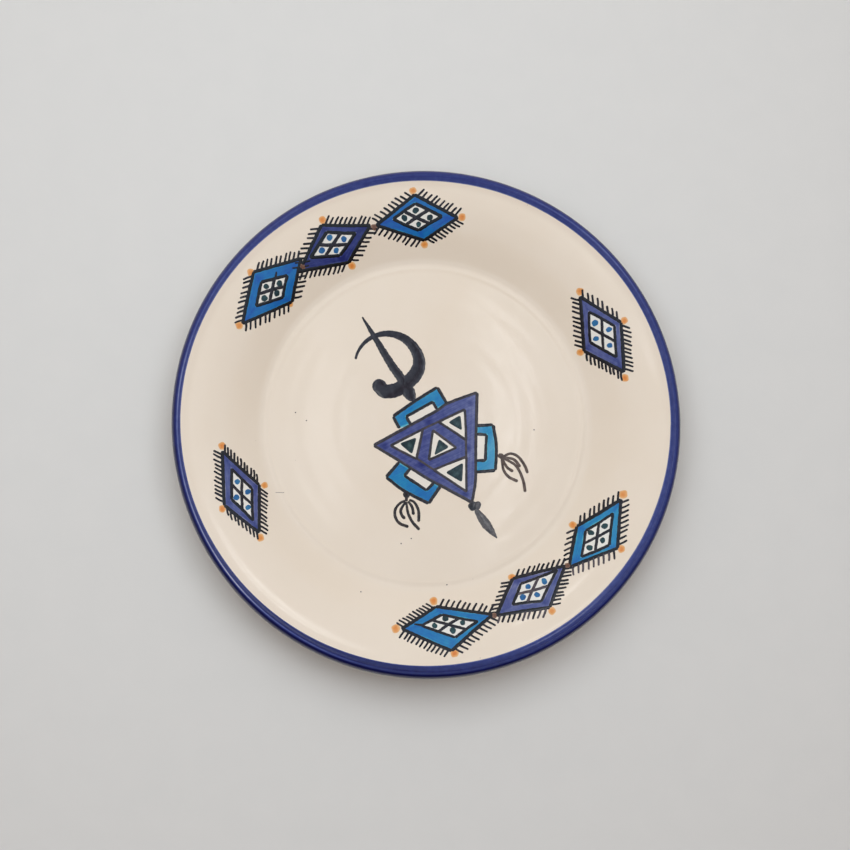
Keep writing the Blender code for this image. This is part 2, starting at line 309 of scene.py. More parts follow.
def place_on_line(stations, angles, offset):
    """Points at these lengths along the outer line, turned to each angle and moved off the surface."""
    angles = angles[:, None] + np.zeros_like(stations)
    radius, height = np.moveaxis(at_lengths(LINE, LINE_LENGTHS, stations), -1, 0)
    outward, upward = np.moveaxis(at_lengths(LINE_NORMALS, LINE_LENGTHS, stations), -1, 0)
    before_crest = stations <= CREST_LENGTH
    fade = np.where(before_crest, 1.0, smoothstep(radius, LIP_WAVE_START, CREST_RADIUS))
    beyond = lip_wave(angles) * fade + turning_marks(radius, angles, stations)
    relief = np.where(before_crest, face_relief(radius, angles), beyond)
    on_axis = radius <= 0.0
    radius = np.where(on_axis, 0.0, np.maximum(0.0, radius + outward * offset))
    height = height + upward * offset + relief
    return np.stack([radius * np.cos(angles), radius * np.sin(angles), height], -1)


TURNING_PITCH = 2.6
TURNING_DEPTH = 0.035
UNDER_LENGTHS = (length_at(112.0, 18.0), length_at(76.0, 4.2))
RECESS_LENGTH = length_at(60.0, 4.5)


def turning_marks(radius, angles, stations):
    """Fine grooves that the turning tool left on the underside, level with the base at the foot."""
    low, high = UNDER_LENGTHS
    shoulder = smoothstep(stations, low, low + 6.0) * (1.0 - smoothstep(stations, high - 6.0, high))
    recess = smoothstep(stations, RECESS_LENGTH, RECESS_LENGTH + 4.0)
    drift = 0.8 * ripple(angles, "turning")
    return TURNING_DEPTH * (shoulder + recess) * np.sin(math.tau * radius / TURNING_PITCH + drift)


def turned_skin(name, loop, materials, slot, node):
    """A closed skin from a loop of points at each angle, which stands for a CAD node. Ends of a loop
    on the axis become one point."""
    segments, count, _ = loop.shape
    vertices = []
    index = np.zeros((segments, count), int)
    for place in range(count):
        column = loop[:, place]
        if np.hypot(column[:, 0], column[:, 1]).max() < 1e-6:
            index[:, place] = len(vertices)
            vertices.append(column.mean(axis=0))
        else:
            index[:, place] = len(vertices) + np.arange(segments)
            vertices.extend(column)
    on_axis = [bool((index[:, place] == index[0, place]).all()) for place in range(count)]
    following = np.roll(index, -1, axis=0)
    faces = []
    for place in range(count):
        after = (place + 1) % count
        if on_axis[place] and on_axis[after]:
            continue
        if on_axis[place]:
            columns = (index[:, place], index[:, after], following[:, after])
        elif on_axis[after]:
            columns = (index[:, place], index[:, after], following[:, place])
        else:
            columns = (index[:, place], index[:, after], following[:, after], following[:, place])
        faces.extend(np.stack(columns, -1).tolist())
    skin = new_object(name, np.array(vertices), faces, materials[slot])
    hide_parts(node)
    return skin, index


def spaced(start, end, step):
    """Even stations from start to end about a step apart."""
    return np.linspace(start, end, max(2, int(round((end - start) / step)) + 1))


def coat_loop(outer, edges, lift=0.0, thickness=COAT):
    """A coat's outer stations at lift above the surface, and its hidden side a thickness below.
    Where an edge is shown, the coat thins out to it as a glaze does."""
    outer = np.broadcast_to(outer, (SEGMENTS, outer.shape[-1]))
    fall = np.zeros_like(outer)
    for shown, distance in zip(edges, (outer - outer[:, :1], outer[:, -1:] - outer)):
        if shown:
            fall = fall + (1.0 - np.clip(distance / EDGE_ROUNDING, 0.0, 1.0)) ** 2
    top = place_on_line(outer, ANGLES, lift * (1.0 - fall) - EDGE_SINK * fall)
    under = place_on_line(outer, ANGLES, -thickness * np.ones_like(outer))
    return np.concatenate([top, under[:, ::-1]], axis=1)


def make_plate_skins(materials):
    """The clay and its four coats of glaze."""
    bare_start = length_at(*FOOT_SHOULDER[-1])
    bare_end = length_at(*FOOT_INSIDE[0])
    band_end = length_at(*lip_point(BAND_END_ANGLE))

    flat = spaced(0.0, 72.0, 1.6)
    ring = spaced(72.5, 80.0, 0.35)
    flange = spaced(80.8, length_at(113.0, 24.0), 0.9)
    under_band = spaced(flange[-1] + 0.5, length_at(116.4, FACE_HEIGHTS[-1]), 0.5)
    stations = np.concatenate([flat, ring, flange, under_band])
    loop = coat_loop(stations, (False, False))
    turned_skin("plate_face_glaze", loop, materials, "cream_glaze", "face_glaze")

    make_band(materials, band_end)

    waver = GLAZE_WAVER * ripple(ANGLES, "back glaze edge", (3, 5, 8, 13))[:, None]
    begin = band_end - 0.8
    end = bare_start - 0.15 + waver
    part = np.concatenate([spaced(0.0, 0.97, 0.012), spaced(0.975, 1.0, 0.004)])[None, :]
    loop = coat_loop(begin + (end - begin) * part, (False, True))
    turned_skin("plate_back_glaze", loop, materials, "cream_glaze", "back_glaze")

    waver = GLAZE_WAVER * ripple(ANGLES, "foot glaze edge", (3, 4, 9, 14))[:, None]
    begin = bare_end + 0.2 + waver
    total = float(LINE_LENGTHS[-1])
    part = np.concatenate([spaced(0.0, 0.12, 0.006), spaced(0.14, 1.0, 0.02)])[None, :]
    loop = coat_loop(begin + (total - begin) * part, (True, False))
    turned_skin("plate_foot_well_glaze", loop, materials, "cream_glaze", "foot_well_glaze")

    before = spaced(0.0, bare_start - 2.0, 1.8)
    foot = spaced(bare_start - 1.5, bare_end + 1.5, 0.3)
    stations = np.concatenate([before, foot, spaced(bare_end + 2.0, total, 1.8)])
    bare = smoothstep(stations, bare_start - 0.7, bare_start - 0.1)
    bare = bare * (1.0 - smoothstep(stations, bare_end + 0.1, bare_end + 0.7))
    offset = np.broadcast_to(-CLAY_DEPTH * (1.0 - bare) - 0.01 * bare, (SEGMENTS, len(stations)))
    loop = place_on_line(np.broadcast_to(stations, offset.shape), ANGLES, offset)
    turned_skin("plate_clay", loop, materials, "bare_clay", "clay_body")


def lip_point(angle):
    """A point of the lip's ellipse, as (radius, height)."""
    half_width = RIM_RADIUS - RIM_MARGIN - CREST_RADIUS
    turn = math.radians(angle)
    middle = FACE_HEIGHTS[-1] - LIP_HALF_HEIGHT
    return CREST_RADIUS + half_width * math.cos(turn), middle + LIP_HALF_HEIGHT * math.sin(turn)


def make_band(materials, band_end):
    """The cobalt band, thin at its inner edge, darker on the lip's outer side as painted shade, and lighter
    over the crest as a painted highlight where it also ran thin.
    """
    toward = BAND_CENTRE[0] * np.cos(ANGLES) + BAND_CENTRE[1] * np.sin(ANGLES)
    away = BAND_CENTRE[0] ** 2 + BAND_CENTRE[1] ** 2
    radius = toward + np.sqrt(BAND_RADIUS**2 - away + toward**2)
    soft = bell(np.abs(ANGLES - BAND_SOFT[0]), 0.0, BAND_SOFT[1])
    radius = radius + BAND_OVAL * np.cos(2.0 * ANGLES) - BAND_SOFT_REACH * soft
    radius = radius + BAND_WAVER * ripple(ANGLES, "band edge", (3, 4, 7, 11, 17))
    on_face = LINE_LENGTHS <= CREST_LENGTH
    begin = np.interp(radius, LINE[on_face, 0], LINE_LENGTHS[on_face])[:, None]
    end = band_end + BAND_END_WAVER * ripple(ANGLES, "band foot", (3, 5, 9, 14))[:, None]
    part = np.concatenate([spaced(0.0, 0.12, 0.012), spaced(0.14, 0.9, 0.025), spaced(0.92, 1.0, 0.01)])
    outer = begin + (end - begin) * part[None, :]
    loop = coat_loop(outer, (True, True), FILM)
    band, index = turned_skin("plate_rim_band", loop, materials, "cobalt_band", "rim_band_glaze")

    from_start = outer - begin
    past_crest = outer - CREST_LENGTH
    density = BAND_EDGE_LOAD + BAND_FEATHER_GAIN * smoothstep(from_start, 0.0, BAND_FEATHER)
    pale = (1.0 - smoothstep(from_start, 1.0, 3.4)) * smoothstep(from_start, 0.0, 0.6)
    density = density - (BAND_SOFT_LOSS * soft)[:, None] * pale
    # Painted highlight: the band is lightened along the crest, partly where it ran thin.
    thin = sum(
        depth * bell(math.pi - np.abs(np.abs(ANGLES - where) - math.pi), 0.0, width)
        for where, width, depth in BAND_THIN_CREST_HIGHLIGHT
    )
    thin = thin * (1.0 + 0.6 * ripple(ANGLES, "crest", (2, 5, 9, 14)))
    density = density - thin[:, None] * bell(past_crest, 0.1, 0.28)
    # Painted shade: the lip's outer side is darkened, deepest towards the south.
    outer_shade = BAND_OUTER_SHADE * (1.0 + 0.6 * np.cos(ANGLES - BAND_DARKEST_ANGLE))
    density = density + outer_shade[:, None] * smoothstep(past_crest, 0.6, 2.2)
    load = 1.0 + BAND_DARKEST_GAIN * bell(ANGLES, BAND_DARKEST_ANGLE, 0.75)
    load = load + 0.06 * ripple(ANGLES, "band load", (2, 5, 11, 19))
    density = density * load[:, None]
    columns = np.concatenate([density, density[:, ::-1]], axis=1)
    flow = np.stack([ANGLES[:, None] * CREST_RADIUS + 0 * outer, from_start, 0 * outer], -1)
    flow = np.concatenate([flow, flow[:, ::-1]], axis=1)
    values = np.zeros(len(band.data.vertices))
    values[index.ravel()] = columns.ravel()
    flows = np.zeros((len(values), 3))
    flows[index.ravel()] = flow.reshape(-1, 3)
    add_attribute(band, "paint", values)
    add_attribute(band, "flow", flows)


# ---- relief of the painting ----------------------------------------------------------------------

EMBED = 0.06
GRAIN = 0.4
FIELD_HEIGHT = 0.035
WINDOW_HEIGHT = 0.02
SPOT_HEIGHT = 0.03
DOT_HEIGHT = 0.055
LINE_HEIGHT = 0.085


class Paint:
    """Enamel patches gathered into one piece. Each patch is closed and follows the plate's face."""

    def __init__(self):
        self.points = []
        self.heights = []
        self.density = []
        self.flow = []
        self.faces = []
        self.count = 0

    def add(self, points, faces, heights, density, flow):
        """A patch: its plan points, the faces between them, and each point's height and paint."""
        points = np.asarray(points, float)
        for face in faces:
            corners = points[face]
            ahead = np.roll(corners, -1, axis=0)
            area = float(np.sum(corners[:, 0] * ahead[:, 1] - ahead[:, 0] * corners[:, 1]))
            ordered = face if area > 0.0 else face[::-1]
            self.faces.append([int(corner) + self.count for corner in ordered])
        self.points.append(points)
        self.heights.append(np.broadcast_to(heights, len(points)))
        self.density.append(np.broadcast_to(density, len(points)))
        self.flow.append(flow)
        self.count += len(points)

    def build(self, name, material, slot, *nodes):
        """The finished piece, which stands for the CAD nodes named."""
        points = np.vstack(self.points)
        surface = face_height(points)
        top = np.column_stack([points, surface + np.concatenate(self.heights)])
        bottom = np.column_stack([points, surface - EMBED])
        faces = list(self.faces)
        edges = {}
        for face in self.faces:
            for start, end in zip(face, face[1:] + face[:1]):
                edges[(start, end)] = True
            faces.append([corner + self.count for corner in face[::-1]])
        for start, end in edges:
            if (end, start) not in edges:
                faces.append([end, start, start + self.count, end + self.count])
        obj = new_object(name, np.vstack([top, bottom]), faces, material)
        add_attribute(obj, "paint", np.tile(np.concatenate(self.density), 2))
        add_attribute(obj, "flow", np.tile(np.vstack(self.flow), (2, 1)))
        if nodes:
            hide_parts(*nodes)
        return obj


def grid_faces(rows, columns, closed=False):
    """The quads of a grid whose points are numbered along its rows."""
    faces = []
    for row in range(rows if closed else rows - 1):
        after = (row + 1) % rows
        for column in range(columns - 1):
            faces.append(
                [row * columns + column, after * columns + column,
                 after * columns + column + 1, row * columns + column + 1]
            )
    return faces


def wave(places, draw, lengths=(2.7, 5.3, 9.1)):
    """A smooth random wave along a line, about -1 to 1."""
    total = np.zeros_like(places)
    for length in lengths:
        total = total + np.sin(math.tau * places / length + draw.uniform(0.0, math.tau))
    return total / len(lengths)


# A stroke's points across it, and the parts along it where its width is given.
ACROSS = np.array([-1.0, -0.86, -0.5, 0.0, 0.5, 0.86, 1.0])
WIDTH_PARTS = np.linspace(0.0, 1.0, 64)
CAP_TURNS = np.radians((10.0, 28.0, 50.0, 72.0))


def brush(paint, path, widths, seed, ink=1.0, dry=0.0, height=LINE_HEIGHT, wobble=0.07):
    """One brush stroke along a path, with round ends. Widths are spread evenly along it, and dry is
    how much of the paint is gone by its end."""
    draw = random.Random(seed)
    path = np.array(path, float)
    fine = catmull_rom(path) if len(path) > 2 else path
    lengths = arc_lengths(fine)
    total = float(lengths[-1])
    widths = np.atleast_1d(np.asarray(widths, float))
    widths = np.interp(WIDTH_PARTS, np.linspace(0, 1, len(widths)), widths)
    start_cap = min(widths[0] / 2, total / 3)
    end_cap = min(widths[-1] / 2, total / 3)
    cap = 1 - np.cos(CAP_TURNS)
    middle = spaced(start_cap, total - end_cap, GRAIN)
    stations = np.unique(np.concatenate([start_cap * cap, middle, total - end_cap * cap]))
    half = np.interp(stations / total, WIDTH_PARTS, widths) / 2
    half = half * (1.0 + min(0.07, wobble) * wave(stations, draw, (1.9, 4.1)))
    for distance, cap in ((stations, start_cap), (total - stations, end_cap)):
        inside = np.clip(1.0 - distance / cap, 0.0, 1.0)
        half = half * np.sqrt(np.maximum(1.0 - inside**2, 0.0))
    places = at_lengths(fine, lengths, stations)
    side = line_normals(places)
    steady = smoothstep(stations, 0.0, 2.0) * smoothstep(total - stations, 0.0, 2.0)
    places = places + side * (wobble * steady * wave(stations, draw))[:, None]
    points = places[:, None, :] + side[:, None, :] * (half[:, None] * ACROSS[None, :])[:, :, None]
    lift = height * (1.0 + 0.1 * draw.uniform(-1, 1)) * (1.0 - 0.85 * np.abs(ACROSS) ** 3)
    load = ink * (1.0 + 0.08 * wave(stations, draw, (3.1, 6.3)) - dry * (stations / total) ** 1.5)
    density = load[:, None] * (1.0 - 0.10 * np.abs(ACROSS) ** 6)[None, :]
    flow = np.stack(
        [
            np.broadcast_to(stations[:, None], density.shape),
            half[:, None] * ACROSS[None, :],
            np.full(density.shape, draw.uniform(0.0, 50.0)),
        ],
        -1,
    )
    heights = np.broadcast_to(lift[None, :], density.shape)
    faces = grid_faces(len(stations), len(ACROSS))
    paint.add(points.reshape(-1, 2), faces, heights.ravel(), density.ravel(), flow.reshape(-1, 3))


DOT_RINGS = (0.0, 0.35, 0.62, 0.82, 0.94, 1.0)
DOT_SEGMENTS = 28


def dot(paint, centre, radius, seed, height=DOT_HEIGHT, soft=0.0, ink=1.0, stretch=(1.0, 0.0)):
    """A round dab of paint. soft is how far in its paint thins out, from 0, crisp, to 1."""
    draw = random.Random(seed)
    angles = np.arange(DOT_SEGMENTS) * (math.tau / DOT_SEGMENTS)
    uneven = 1.0 + 0.06 * sum(
        math.sqrt(1.0 / order) * np.sin(order * angles + draw.uniform(0, math.tau)) for order in (2, 3, 4, 5)
    )
    turn = math.radians(stretch[1])
    rings = np.array(DOT_RINGS[1:])
    reach = radius * rings[:, None] * uneven[None, :]
    x = reach * np.cos(angles) * stretch[0]
    y = reach * np.sin(angles) / stretch[0]
    places = np.stack(
        [
            centre[0] + x * math.cos(turn) - y * math.sin(turn),
            centre[1] + x * math.sin(turn) + y * math.cos(turn),
        ],
        -1,
    ).reshape(-1, 2)
    points = np.vstack([[centre], places])
    rim = np.repeat(np.array(DOT_RINGS), [1] + [DOT_SEGMENTS] * len(rings))
    heights = height * (1.0 - 0.85 * rim**3)
    density = ink * (1.0 - soft * smoothstep(rim, 0.25, 1.0) * 0.95)
    faces = [[0, 1 + k, 1 + (k + 1) % DOT_SEGMENTS] for k in range(DOT_SEGMENTS)]
    for ring in range(len(rings) - 1):
        low = 1 + ring * DOT_SEGMENTS
        for k in range(DOT_SEGMENTS):
            after = (k + 1) % DOT_SEGMENTS
            faces.append([low + k, low + after, low + DOT_SEGMENTS + after, low + DOT_SEGMENTS + k])
    flow = np.column_stack([points - centre, np.full(len(points), draw.uniform(0.0, 50.0))])
    paint.add(points, faces, heights, density, flow)


def rounded(outline, radius=0.5, steps=4):
    """An outline with each corner cut to a round one, and its sides divided into short pieces."""
    outline = np.array(outline, float)
    result = []
    for before, corner, after in zip(np.roll(outline, 1, axis=0), outline, np.roll(outline, -1, axis=0)):
        back = before - corner
        ahead = after - corner
        cut = min(radius, 0.4 * np.hypot(*back), 0.4 * np.hypot(*ahead))
        first = corner + back / np.hypot(*back) * cut
        last = corner + ahead / np.hypot(*ahead) * cut
        for part in np.linspace(0.0, 1.0, steps + 1):
            result.append((1 - part) ** 2 * first + 2 * part * (1 - part) * corner + part**2 * last)
    divided = []
    for start, end in zip(result, result[1:] + result[:1]):
        pieces = max(1, int(math.ceil(np.hypot(*(end - start)) / GRAIN)))
        divided.extend(start + (end - start) * part for part in np.arange(pieces) / pieces)
    return np.array(divided)


def edge_distance(points, outline):
    """How far each point is from the nearest side of an outline."""
    starts = outline
    sides = np.roll(outline, -1, axis=0) - outline
    relative = points[:, None, :] - starts[None, :, :]
    part = np.clip((relative * sides).sum(-1) / (sides**2).sum(-1), 0.0, 1.0)
    return np.hypot(*np.moveaxis(relative - sides * part[..., None], -1, 0)).min(axis=1)


def is_inside(points, outline):
    """Whether each point is inside an outline."""
    x, y = points[:, None, 0], points[:, None, 1]
    ax, ay = outline[:, 0], outline[:, 1]
    bx, by = np.roll(outline, -1, axis=0).T
    spans = (ay > y) != (by > y)
    crossing = ax + (y - ay) * (bx - ax) / np.where(by == ay, 1.0, by - ay)
    return (spans & (x < crossing)).sum(axis=1) % 2 == 1


def is_on_patch(points, loops):
    """Whether each point is inside the first loop and outside the others."""
    keep = is_inside(points, loops[0])
    for hole in loops[1:]:
        keep &= ~is_inside(points, hole)
    return keep


def nearest_edge(points, loops):
    """How far each point is from the nearest of the loops."""
    return np.min([edge_distance(points, loop) for loop in loops], axis=0)


PATCH_FEATHER = 0.35


def patch(paint, outline, holes, seed, height, density, flow_direction):
    """A filled area with holes. Its density is a number, or a function of its points and their
    distance to an edge."""
    loops = [np.asarray(outline, float), *[np.asarray(hole, float) for hole in holes]]
    low = loops[0].min(axis=0)
    high = loops[0].max(axis=0)
    row_step = GRAIN * math.sqrt(3) / 2
    rows = np.arange(low[1], high[1], row_step)
    inner = []
    for number, y in enumerate(rows):
        shift = GRAIN / 2 if number % 2 else 0.0
        inner.extend((x, y) for x in np.arange(low[0] + shift, high[0], GRAIN))
    inner = np.array(inner)
    inner = inner[is_on_patch(inner, loops)]
    inner = inner[nearest_edge(inner, loops) > 0.45 * GRAIN]
    corners = np.vstack(loops + [inner])
    edges = []
    first = 0
    for loop in loops:
        count = len(loop)
        edges.extend((first + k, first + (k + 1) % count) for k in range(count))
        first += count
    found = delaunay_2d_cdt([Vector(point) for point in corners], edges, [], 0, 1e-6)
    points = np.array([tuple(point) for point in found[0]])
    faces = np.array(found[2])
    faces = faces[is_on_patch(points[faces].mean(axis=1), loops)]
    used, faces = np.unique(faces, return_inverse=True)
    points = points[used]
    faces = faces.reshape(-1, 3)
    distance = nearest_edge(points, loops)
    heights = height * (0.2 + 0.8 * smoothstep(distance, 0.0, PATCH_FEATHER))
    turn = math.radians(flow_direction)
    draw = random.Random(seed)
    along = points[:, 0] * math.cos(turn) + points[:, 1] * math.sin(turn)
    across = points[:, 1] * math.cos(turn) - points[:, 0] * math.sin(turn)
    flow = np.column_stack([along, across, np.full(len(points), draw.uniform(0.0, 50.0))])
    load = density(points, distance) if callable(density) else density
    paint.add(points, faces.tolist(), heights, load, flow)


# ---- materials -----------------------------------------------------------------------------------


def linear(red, green, blue):
    """A colour given as 0 to 255 on a screen, as the shader's linear values."""
    channels = [value / 255.0 for value in (red, green, blue)]
    return tuple(v / 12.92 if v <= 0.04045 else ((v + 0.055) / 1.055) ** 2.4 for v in channels)


CREAM = (0.742, 0.645, 0.540)
FULL_DENSITY = 1.7
RAMP_STOPS = 12
# The depth in metres of the glaze's orange peel, of the relief under it and of the clay's grit.
PEEL_DEPTH = 0.00006
BASE_DEPTH = 0.00005
GRIT_DEPTH = 0.0001

# Each enamel's colour at full strength, how much the brush's streaks and mottling change its
# density, and how rough the enamel is under its glaze.
PIGMENTS = {
    "cobalt_band": (linear(26, 36, 105), 0.12, 0.10, 0.35),
    "cobalt_enamel": (linear(60, 69, 127), 0.16, 0.14, 0.40),
    "turquoise_enamel": (linear(8, 110, 170), 0.14, 0.10, 0.40),
    "black_enamel": (linear(11, 7, 12), 0.14, 0.16, 0.45),
    "ring_enamel": (linear(34, 30, 38), 0.07, 0.09, 0.45),
    "grey_enamel": (linear(74, 70, 72), 0.20, 0.20, 0.45),
    "umber_enamel": (linear(24, 13, 9), 0.14, 0.20, 0.45),
    "teal_enamel": (linear(28, 50, 54), 0.12, 0.25, 0.40),
    "green_enamel": (linear(12, 44, 48), 0.10, 0.20, 0.40),
    "blue_enamel": (linear(26, 94, 146), 0.10, 0.15, 0.40),
    "orange_enamel": (linear(212, 130, 58), 0.12, 0.20, 0.45),
    "brown_enamel": (linear(106, 72, 54), 0.12, 0.25, 0.45),
    "white_enamel": (linear(220, 220, 217), 0.06, 0.10, 0.40),
}


def feed(tree, node, inputs):
    """Set a node's inputs to values, or link them to other nodes' outputs."""
    for key, value in inputs.items():
        if isinstance(value, bpy.types.NodeSocket):
            tree.links.new(value, node.inputs[key])
        else:
            node.inputs[key].default_value = value


def add_node(tree, kind, settings=None, inputs=None):
    """A node with its settings and inputs."""
    node = tree.nodes.new(kind)
    for name, value in (settings or {}).items():
        setattr(node, name, value)
    feed(tree, node, inputs or {})
    return node


def maths(tree, operation, first, second):
    """The output of a Math node."""
    return add_node(tree, "ShaderNodeMath", {"operation": operation}, {0: first, 1: second}).outputs[0]


def noise(tree, vector, scale, detail=3.0, roughness=0.5):
    """The output of a Noise Texture."""
    inputs = {"Vector": vector, "Scale": scale, "Detail": detail, "Roughness": roughness}
    return add_node(tree, "ShaderNodeTexNoise", None, inputs).outputs["Fac"]


def remap(tree, value, low, high, to_low, to_high):
    """The output of a Map Range node."""
    inputs = {"Value": value, "From Min": low, "From Max": high, "To Min": to_low, "To Max": to_high}
    return add_node(tree, "ShaderNodeMapRange", None, inputs).outputs["Result"]


def cell_distance(tree, place, scale):
    """How far a place is from the middle of its Voronoi cell."""
    inputs = {"Vector": place, "Scale": scale}
    return add_node(tree, "ShaderNodeTexVoronoi", {"feature": "F1"}, inputs).outputs["Distance"]


def bump(tree, height, strength, distance, **others):
    """The output of a Bump node."""
    inputs = {"Strength": strength, "Distance": distance, "Height": height, **others}
    return add_node(tree, "ShaderNodeBump", None, inputs).outputs["Normal"]


def new_material(name):
    """A material with its Principled shader, and the place on the object as a vector."""
    material = bpy.data.materials.new(name)
    material.use_nodes = True
    tree = material.node_tree
    shader = tree.nodes["Principled BSDF"]
    place = add_node(tree, "ShaderNodeTexCoord").outputs["Object"]
    return material, tree, shader, place


def glaze_over(tree, shader, place, bump_height, bump_strength=0.5):
    """The clear glossy glaze: a coat with a faint orange peel."""
    streak = remap(tree, noise(tree, place, 90.0, 4.0), 0.3, 0.7, 0.06, 0.12)
    peel = bump(tree, noise(tree, place, 260.0, 3.0, 0.55), bump_strength, PEEL_DEPTH)
    feed(tree, shader, {
        "Coat Weight": 1.0,
        "Coat IOR": 1.5,
        "Coat Roughness": streak,
        "Coat Normal": peel,
        "Specular IOR Level": 0.08,
        "Normal": bump(tree, bump_height, bump_strength, BASE_DEPTH, Normal=peel),
    })


def pigment_material(name, pigment, streaks, mottle, roughness):
    """An enamel whose colour deepens with the paint's density, as light passes it twice."""
    material, tree, shader, place = new_material(name)
    density = add_node(tree, "ShaderNodeAttribute", {"attribute_name": "paint"}).outputs["Fac"]
    flow = add_node(tree, "ShaderNodeAttribute", {"attribute_name": "flow"}).outputs["Vector"]
    stretched = add_node(
        tree, "ShaderNodeVectorMath", {"operation": "MULTIPLY"}, {0: flow, 1: (0.12, 2.4, 1.0)}
    ).outputs[0]
    streak = noise(tree, stretched, 1.0, 3.0, 0.6)
    streak_factor = remap(tree, streak, 0.3, 0.7, 1.0 - streaks, 1.0 + streaks)
    cloud = noise(tree, place, 420.0, 4.0, 0.55)
    cloud_factor = remap(tree, cloud, 0.3, 0.7, 1.0 - mottle, 1.0 + mottle)
    load = maths(tree, "MULTIPLY", maths(tree, "MULTIPLY", density, streak_factor), cloud_factor)
    part = maths(tree, "DIVIDE", load, FULL_DENSITY)
    ramp = add_node(tree, "ShaderNodeValToRGB", None, {"Fac": part})
    stops = ramp.color_ramp.elements
    while len(stops) < RAMP_STOPS:
        stops.new(0.5)
    for number, stop in enumerate(stops):
        stop.position = number / (RAMP_STOPS - 1)
        depth = stop.position * FULL_DENSITY
        stop.color = (*[base ** (1 - depth) * full**depth for base, full in zip(CREAM, pigment)], 1.0)
    rough = remap(tree, streak, 0.2, 0.8, roughness - 0.08, roughness + 0.08)
    feed(tree, shader, {"Base Color": ramp.outputs["Color"], "Roughness": rough})
    glaze_over(tree, shader, place, maths(tree, "ADD", streak, maths(tree, "MULTIPLY", cloud, 0.5)))
    return material


def mix_colour(tree, factor, first, second):
    """Two colours mixed by a factor."""
    node = add_node(tree, "ShaderNodeMix", {"data_type": "RGBA"}, {"Factor": factor})
    for key, value in (("A", first), ("B", second)):
        socket = next(s for s in node.inputs if s.name == key and s.type == "RGBA")
        if isinstance(value, bpy.types.NodeSocket):
            tree.links.new(value, socket)
        else:
            socket.default_value = (*value, 1.0)
    return next(s for s in node.outputs if s.type == "RGBA")


def cream_glaze():
    """Warm cream glaze: broad soft changes of tone, faint clouds, iron specks and pinholes."""
    material, tree, shader, place = new_material("cream_glaze")
    broad = remap(tree, noise(tree, place, 14.0, 2.0), 0.35, 0.65, 0.0, 1.0)
    colour = mix_colour(tree, broad, (0.750, 0.655, 0.552), (0.732, 0.633, 0.525))
    cloud = remap(tree, noise(tree, place, 75.0, 4.0), 0.3, 0.75, 0.0, 0.35)
    colour = mix_colour(tree, cloud, colour, (0.762, 0.671, 0.574))
    near = remap(tree, cell_distance(tree, place, 130.0), 0.02, 0.045, 1.0, 0.0)
    chosen = remap(tree, noise(tree, place, 33.0, 1.0), 0.60, 0.62, 0.0, 1.0)
    speck = maths(tree, "MULTIPLY", maths(tree, "MULTIPLY", near, chosen), 0.55)
    colour = mix_colour(tree, speck, colour, (0.23, 0.16, 0.11))
    rough = remap(tree, noise(tree, place, 110.0, 3.0), 0.3, 0.7, 0.32, 0.42)
    feed(tree, shader, {"Base Color": colour, "Roughness": rough})
    pit = remap(tree, cell_distance(tree, place, 210.0), 0.03, 0.10, 0.0, 1.0)
    glaze_over(tree, shader, place, pit, 0.35)
    return material


def bare_clay():
    """Unglazed earthenware: pink-buff and gritty, paler and darker in random patches."""
    material, tree, shader, place = new_material("bare_clay")
    grit = noise(tree, place, 1600.0, 6.0, 0.65)
    broad = noise(tree, place, 60.0, 3.0)
    tone = maths(tree, "ADD", maths(tree, "MULTIPLY", grit, 0.6), maths(tree, "MULTIPLY", broad, 0.5))
    paler = remap(tree, tone, 0.35, 0.75, 0.0, 1.0)
    colour = mix_colour(tree, paler, (0.40, 0.205, 0.12), (0.58, 0.36, 0.24))
    grain = remap(tree, cell_distance(tree, place, 900.0), 0.05, 0.14, 0.6, 0.0)
    colour = mix_colour(tree, grain, colour, (0.22, 0.11, 0.07))
    feed(tree, shader, {
        "Base Color": colour,
        "Roughness": 0.92,
        "Specular IOR Level": 0.25,
        "Normal": bump(tree, grit, 0.8, GRIT_DEPTH),
    })
    return material


def floor_material():
    """Plain pale paper, almost without grain."""
    material, tree, shader, place = new_material("floor")
    tone = remap(tree, noise(tree, place, 60.0, 5.0), 0.3, 0.7, 0.0, 1.0)
    colour = mix_colour(tree, tone, (0.640, 0.640, 0.636), (0.652, 0.650, 0.645))
    feed(tree, shader, {"Base Color": colour, "Roughness": 0.85, "Specular IOR Level": 0.1})
    return material


def make_materials():
    """Every finish of the plate, by name."""
    materials = {name: pigment_material(name, *values) for name, values in PIGMENTS.items()}
    materials["cream_glaze"] = cream_glaze()
    materials["bare_clay"] = bare_clay()
    return materials


# ---- the lozenges --------------------------------------------------------------------------------

